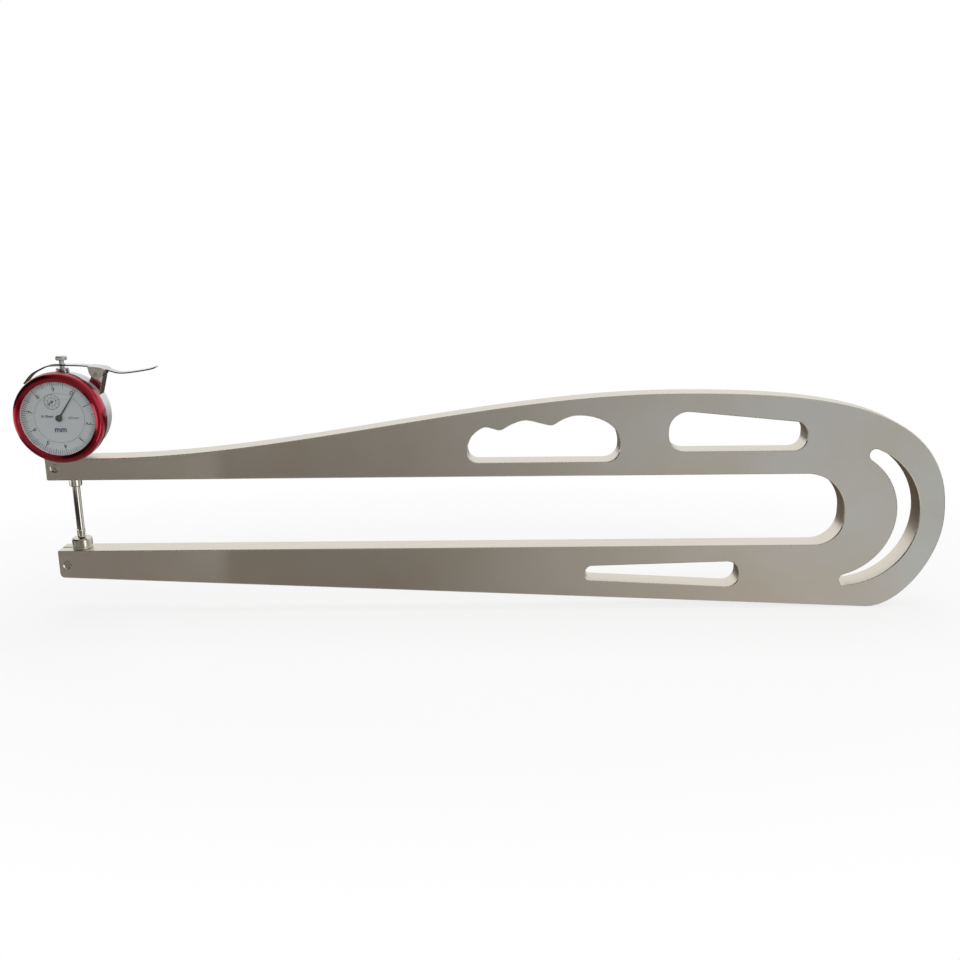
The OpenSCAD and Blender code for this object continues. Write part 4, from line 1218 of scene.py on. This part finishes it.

# %% [markdown]
# ## The camera
# The photograph was taken from in front of the middle and a little above, with the whole
# half metre in view. The camera's place, its tilt and its focal length were worked out
# from the throat's corners, the bezel and the slots.

# %% Camera
FOCAL_PIXELS = 1043.6
PICTURE_WIDTH = 960
SENSOR_WIDTH = 36
CAMERA_PLACE = Vector((267.6, -655.5, 216.2)) * MM
camera_data = bpy.data.cameras.new("view_from_the_front")
camera = bpy.data.objects.new("view_from_the_front", camera_data)
bpy.context.scene.collection.objects.link(camera)
camera_data.sensor_width = SENSOR_WIDTH
camera_data.lens = SENSOR_WIDTH * FOCAL_PIXELS / PICTURE_WIDTH
camera_data.clip_start = 0.01
camera_data.clip_end = 20
yaw, pitch, roll = math.radians(-0.33), math.radians(15.31), math.radians(-0.6)
ahead = Vector((math.sin(yaw) * math.cos(pitch), math.cos(yaw) * math.cos(pitch), -math.sin(pitch)))
right = Vector((math.cos(yaw), -math.sin(yaw), 0))
over = right.cross(ahead)
right_rolled = right * math.cos(roll) + over * math.sin(roll)
over_rolled = over * math.cos(roll) - right * math.sin(roll)
turned = Matrix((right_rolled, over_rolled, -ahead)).transposed().to_4x4()
camera.matrix_world = Matrix.Translation(CAMERA_PLACE) @ turned
bpy.context.scene.camera = camera
print("lens", round(camera_data.lens, 2), "mm")

# %% [markdown]
# ## Floor, light and what the metal mirrors
# The gauge stands over a plain pale floor under soft lamps. The world and the floor are
# white to the camera, so the background is white without more light on the object. Close
# to the gauge about a fifth of the floor's own shading still shows, as a soft shadow.
# Metal shows its surroundings more than its own colour, so cards stand and lie around
# the gauge, as in a studio: warm grey sheets on the floor, paler to the right, and large
# cards in front, at the left and overhead. Dark strips at the left are for the rod and
# the anvil, a dark sheet further out is what the crystal mirrors, and a pale sheet behind
# brightens the right side of the anvil and of the rod above it. Two warm sheets close to
# the right half give the lower arm its warmer grey, and two bright cards stand beside
# the rod and at the left of the dial. Only mirrored rays see the cards, and only from
# their front.

# %% World
scene = bpy.context.scene
scene.view_settings.view_transform = "Standard"
world = bpy.data.worlds.new("white_studio")
scene.world = world
world.use_nodes = True
sky = world.node_tree
sky.nodes.clear()
ray = add(sky, "ShaderNodeLightPath")
seen = add(
    sky,
    "ShaderNodeMath",
    settings={"operation": "MAXIMUM"},
    inputs={0: ray.outputs["Is Camera Ray"], 1: ray.outputs["Is Glossy Ray"]},
)
seen_too = add(
    sky,
    "ShaderNodeMath",
    settings={"operation": "MAXIMUM"},
    inputs={0: seen.outputs["Value"], 1: ray.outputs["Is Transmission Ray"]},
)
soft_light = add(sky, "ShaderNodeBackground", inputs={"Color": linear("F4F6FA"), "Strength": 0.38})
white_back = add(sky, "ShaderNodeBackground", inputs={"Color": (1, 1, 1, 1), "Strength": 1.0})
picked = add(
    sky,
    "ShaderNodeMixShader",
    inputs={
        0: seen_too.outputs["Value"],
        1: soft_light.outputs["Background"],
        2: white_back.outputs["Background"],
    },
)
add(sky, "ShaderNodeOutputWorld", inputs={"Surface": picked.outputs["Shader"]})
print("world:", world.name)

# %% Floor
MIDDLE_X = 0.27
FLOOR_REACH = 6
FLOOR_Z = cad_box[0][2] - 0.5 * MM
floor_finish, tree, shader = start_finish("pale_floor", "F2F2F0", 0.0, 0.7)
ray = add(tree, "ShaderNodeLightPath")
glow = add(tree, "ShaderNodeEmission", inputs={"Color": (1, 1, 1, 1), "Strength": 1.0})
around = add(tree, "ShaderNodeTexCoord")
measured = add(
    tree,
    "ShaderNodeMapping",
    inputs={"Vector": around.outputs["Object"], "Location": (-MIDDLE_X, 0, 0), "Scale": (1, 1.9, 0)},
)
away = add(
    tree,
    "ShaderNodeVectorMath",
    settings={"operation": "LENGTH"},
    inputs={0: measured.outputs["Vector"]},
)
whiter = add(
    tree,
    "ShaderNodeMapRange",
    inputs={"Value": away.outputs["Value"], "From Min": 0.32, "From Max": 0.6, "To Min": 0.78},
)
shade = add(
    tree,
    "ShaderNodeMath",
    settings={"operation": "MULTIPLY"},
    inputs={0: ray.outputs["Is Camera Ray"], 1: whiter.outputs["Result"]},
)
mixed = add(
    tree,
    "ShaderNodeMixShader",
    inputs={0: shade.outputs["Value"], 1: shader.outputs["BSDF"], 2: glow.outputs["Emission"]},
)
tree.links.new(mixed.outputs["Shader"], tree.nodes["Material Output"].inputs["Surface"])
bm = bmesh.new()
bmesh.ops.create_grid(bm, x_segments=1, y_segments=1, size=FLOOR_REACH)
bmesh.ops.translate(bm, verts=bm.verts, vec=(MIDDLE_X, 0, FLOOR_Z))
floor_mesh = bpy.data.meshes.new("floor")
bm.to_mesh(floor_mesh)
bm.free()
floor_mesh.materials.append(floor_finish)
floor = bpy.data.objects.new("floor", floor_mesh)
scene.collection.objects.link(floor)
print("floor at", round(FLOOR_Z, 4))


# %% Cards that the metal mirrors
def card(name, start, end, corners, strength=1.0):
    """A card that only mirrored rays see, from its front, with a tone at its start and one at its end"""
    finish = bpy.data.materials.new(name)
    finish.use_nodes = True
    tree = finish.node_tree
    tree.nodes.clear()
    place = add(tree, "ShaderNodeTexCoord")
    split = add(tree, "ShaderNodeSeparateXYZ", inputs={"Vector": place.outputs["UV"]})
    tone = add(
        tree,
        "ShaderNodeMix",
        settings=TWO_TONES,
        inputs={"Factor": split.outputs["X"], "A": linear(start), "B": linear(end)},
    )
    glow = add(tree, "ShaderNodeEmission", inputs={"Color": tone.outputs["Result"], "Strength": strength})
    side = add(tree, "ShaderNodeNewGeometry")
    clear = add(tree, "ShaderNodeBsdfTransparent")
    one_side = add(
        tree,
        "ShaderNodeMixShader",
        inputs={0: side.outputs["Backfacing"], 1: glow.outputs["Emission"], 2: clear.outputs["BSDF"]},
    )
    add(tree, "ShaderNodeOutputMaterial", inputs={"Surface": one_side.outputs["Shader"]})
    bm = bmesh.new()
    face = bm.faces.new([bm.verts.new(c) for c in corners])
    uv = bm.loops.layers.uv.new("UVMap")
    for loop, at in zip(face.loops, [(0, 0), (1, 0), (1, 1), (0, 1)]):
        loop[uv].uv = at
    mesh = bpy.data.meshes.new(name)
    bm.to_mesh(mesh)
    bm.free()
    mesh.materials.append(finish)
    made = bpy.data.objects.new(name, mesh)
    scene.collection.objects.link(made)
    made.visible_camera = False
    made.visible_diffuse = False
    made.visible_shadow = False
    made.visible_transmission = False


LOW = cad_box[0][2] - 0.4 * MM
# name, tone at its left and at its right, X from and to, Y from and to, height in mm
LYING = [
    ("far_left", "C6BCB2", "C6BCB2", (-1.8, -0.03), (-1.8, -0.3), 0),
    ("left", "9A928A", "9A928A", (-1.8, -0.03), (-0.3, -0.009), 0),
    ("left_behind", "4A443D", "4A443D", (-1.8, -0.03), (0.009, 1.8), 0),
    ("front_left", "BDB3A9", "8A837B", (-0.03, 0.2), (-1.8, -0.3), 0),
    ("near_left", "958D85", "8A837B", (-0.03, 0.2), (-0.3, -0.009), 0),
    ("front_middle", "8A837B", "D3D9DC", (0.2, 0.45), (-1.8, -0.009), 0),
    ("front_right", "D3D9DC", "D6DCDF", (0.45, 2.2), (-1.8, -0.009), 0),
    ("near_middle", "8A837B", "D0CAC2", (0.2, 0.45), (-0.26, -0.009), 0.05),
    ("near_right", "D0CAC2", "D8DADA", (0.45, 0.57), (-0.26, -0.009), 0.05),
    ("behind", "544B40", "5A5146", (-0.03, 2.2), (0.009, 0.7), 0),
    ("bright_behind", "E9E7E1", "E9E7E1", (0.08, 0.36), (0.009, 0.22), 0.1),
    ("dark_band", "38342F", "38342F", (-0.25, 0.16), (-0.305, -0.18), 0.1),
    ("dark_front", "2A2724", "2A2724", (-0.75, -0.14), (-0.8, -0.52), 0.1),
    ("dark_corner", "38342F", "38342F", (-0.19, -0.12), (-0.18, -0.1), 0.1),
    ("dark_side", "38342F", "38342F", (-0.31, -0.19), (-0.185, -0.009), 0.1),
]
for name, left, right_side, (x0, x1), (y0, y1), lift in LYING:
    z = LOW + lift * MM
    corners = [(x0, y0, z), (x1, y0, z), (x1, y1, z), (x0, y1, z)]
    card("low_card_" + name, left, right_side, corners)
# name, tone at its start and at its end, start X and Y, end X and Y, Z from and to, strength
STANDING = [
    ("card_beside_rod", "FFFEFA", "FFFEFA", (0.1, -0.055), (0.1, -0.16), (-0.05, 0.042), 1.9),
    ("card_left_of_dial", "FFFEFA", "FFFEFA", (-0.25, -0.25), (-0.25, 0.2), (-0.03, 0.07), 1.5),
    ("front_card", "C9C8C4", "5E5852", (1.9, -1.6), (-1.6, -1.6), (-0.05, 1.3), 1.0),
    ("left_card", "2C2924", "2C2924", (-0.7, -1.6), (-0.7, 0.5), (-0.05, 1.2), 1.0),
]
for name, start, end, (x0, y0), (x1, y1), (low, high), strength in STANDING:
    corners = [(x0, y0, low), (x1, y1, low), (x1, y1, high), (x0, y0, high)]
    card(name, start, end, corners, strength)
card(
    "ceiling_card",
    "CFCDC9",
    "35312F",
    [(1.9, -1.6, 1.3), (-1.6, -1.6, 1.3), (-1.6, 0.35, 1.3), (1.9, 0.35, 1.3)],
)
print("cards that lie:", len(LYING), "that stand:", len(STANDING), "and one overhead")


# %% Lamps
LIGHT_LEVEL = 0.72


def soft_lamp(name, place, target, size, power):
    """A square area lamp that looks at a point, and that metal doesn't mirror"""
    lamp = bpy.data.lights.new(name, "AREA")
    lamp.shape = "SQUARE"
    lamp.size = size
    lamp.energy = power * LIGHT_LEVEL
    holder = bpy.data.objects.new(name, lamp)
    scene.collection.objects.link(holder)
    holder.visible_glossy = False
    holder.location = place
    holder.rotation_mode = "QUATERNION"
    holder.rotation_quaternion = (Vector(target) - Vector(place)).to_track_quat("-Z", "Y")


soft_lamp("lamp_over", (0.3, 0.1, 1.1), (0.3, 0, 0), 1.0, 9)
soft_lamp("lamp_front_right", (1.1, -1.1, 0.7), (0.2, 0, 0.03), 0.7, 9)
soft_lamp("lamp_front_left", (-0.5, -1.2, 0.6), (0.2, 0, 0.03), 0.7, 4)
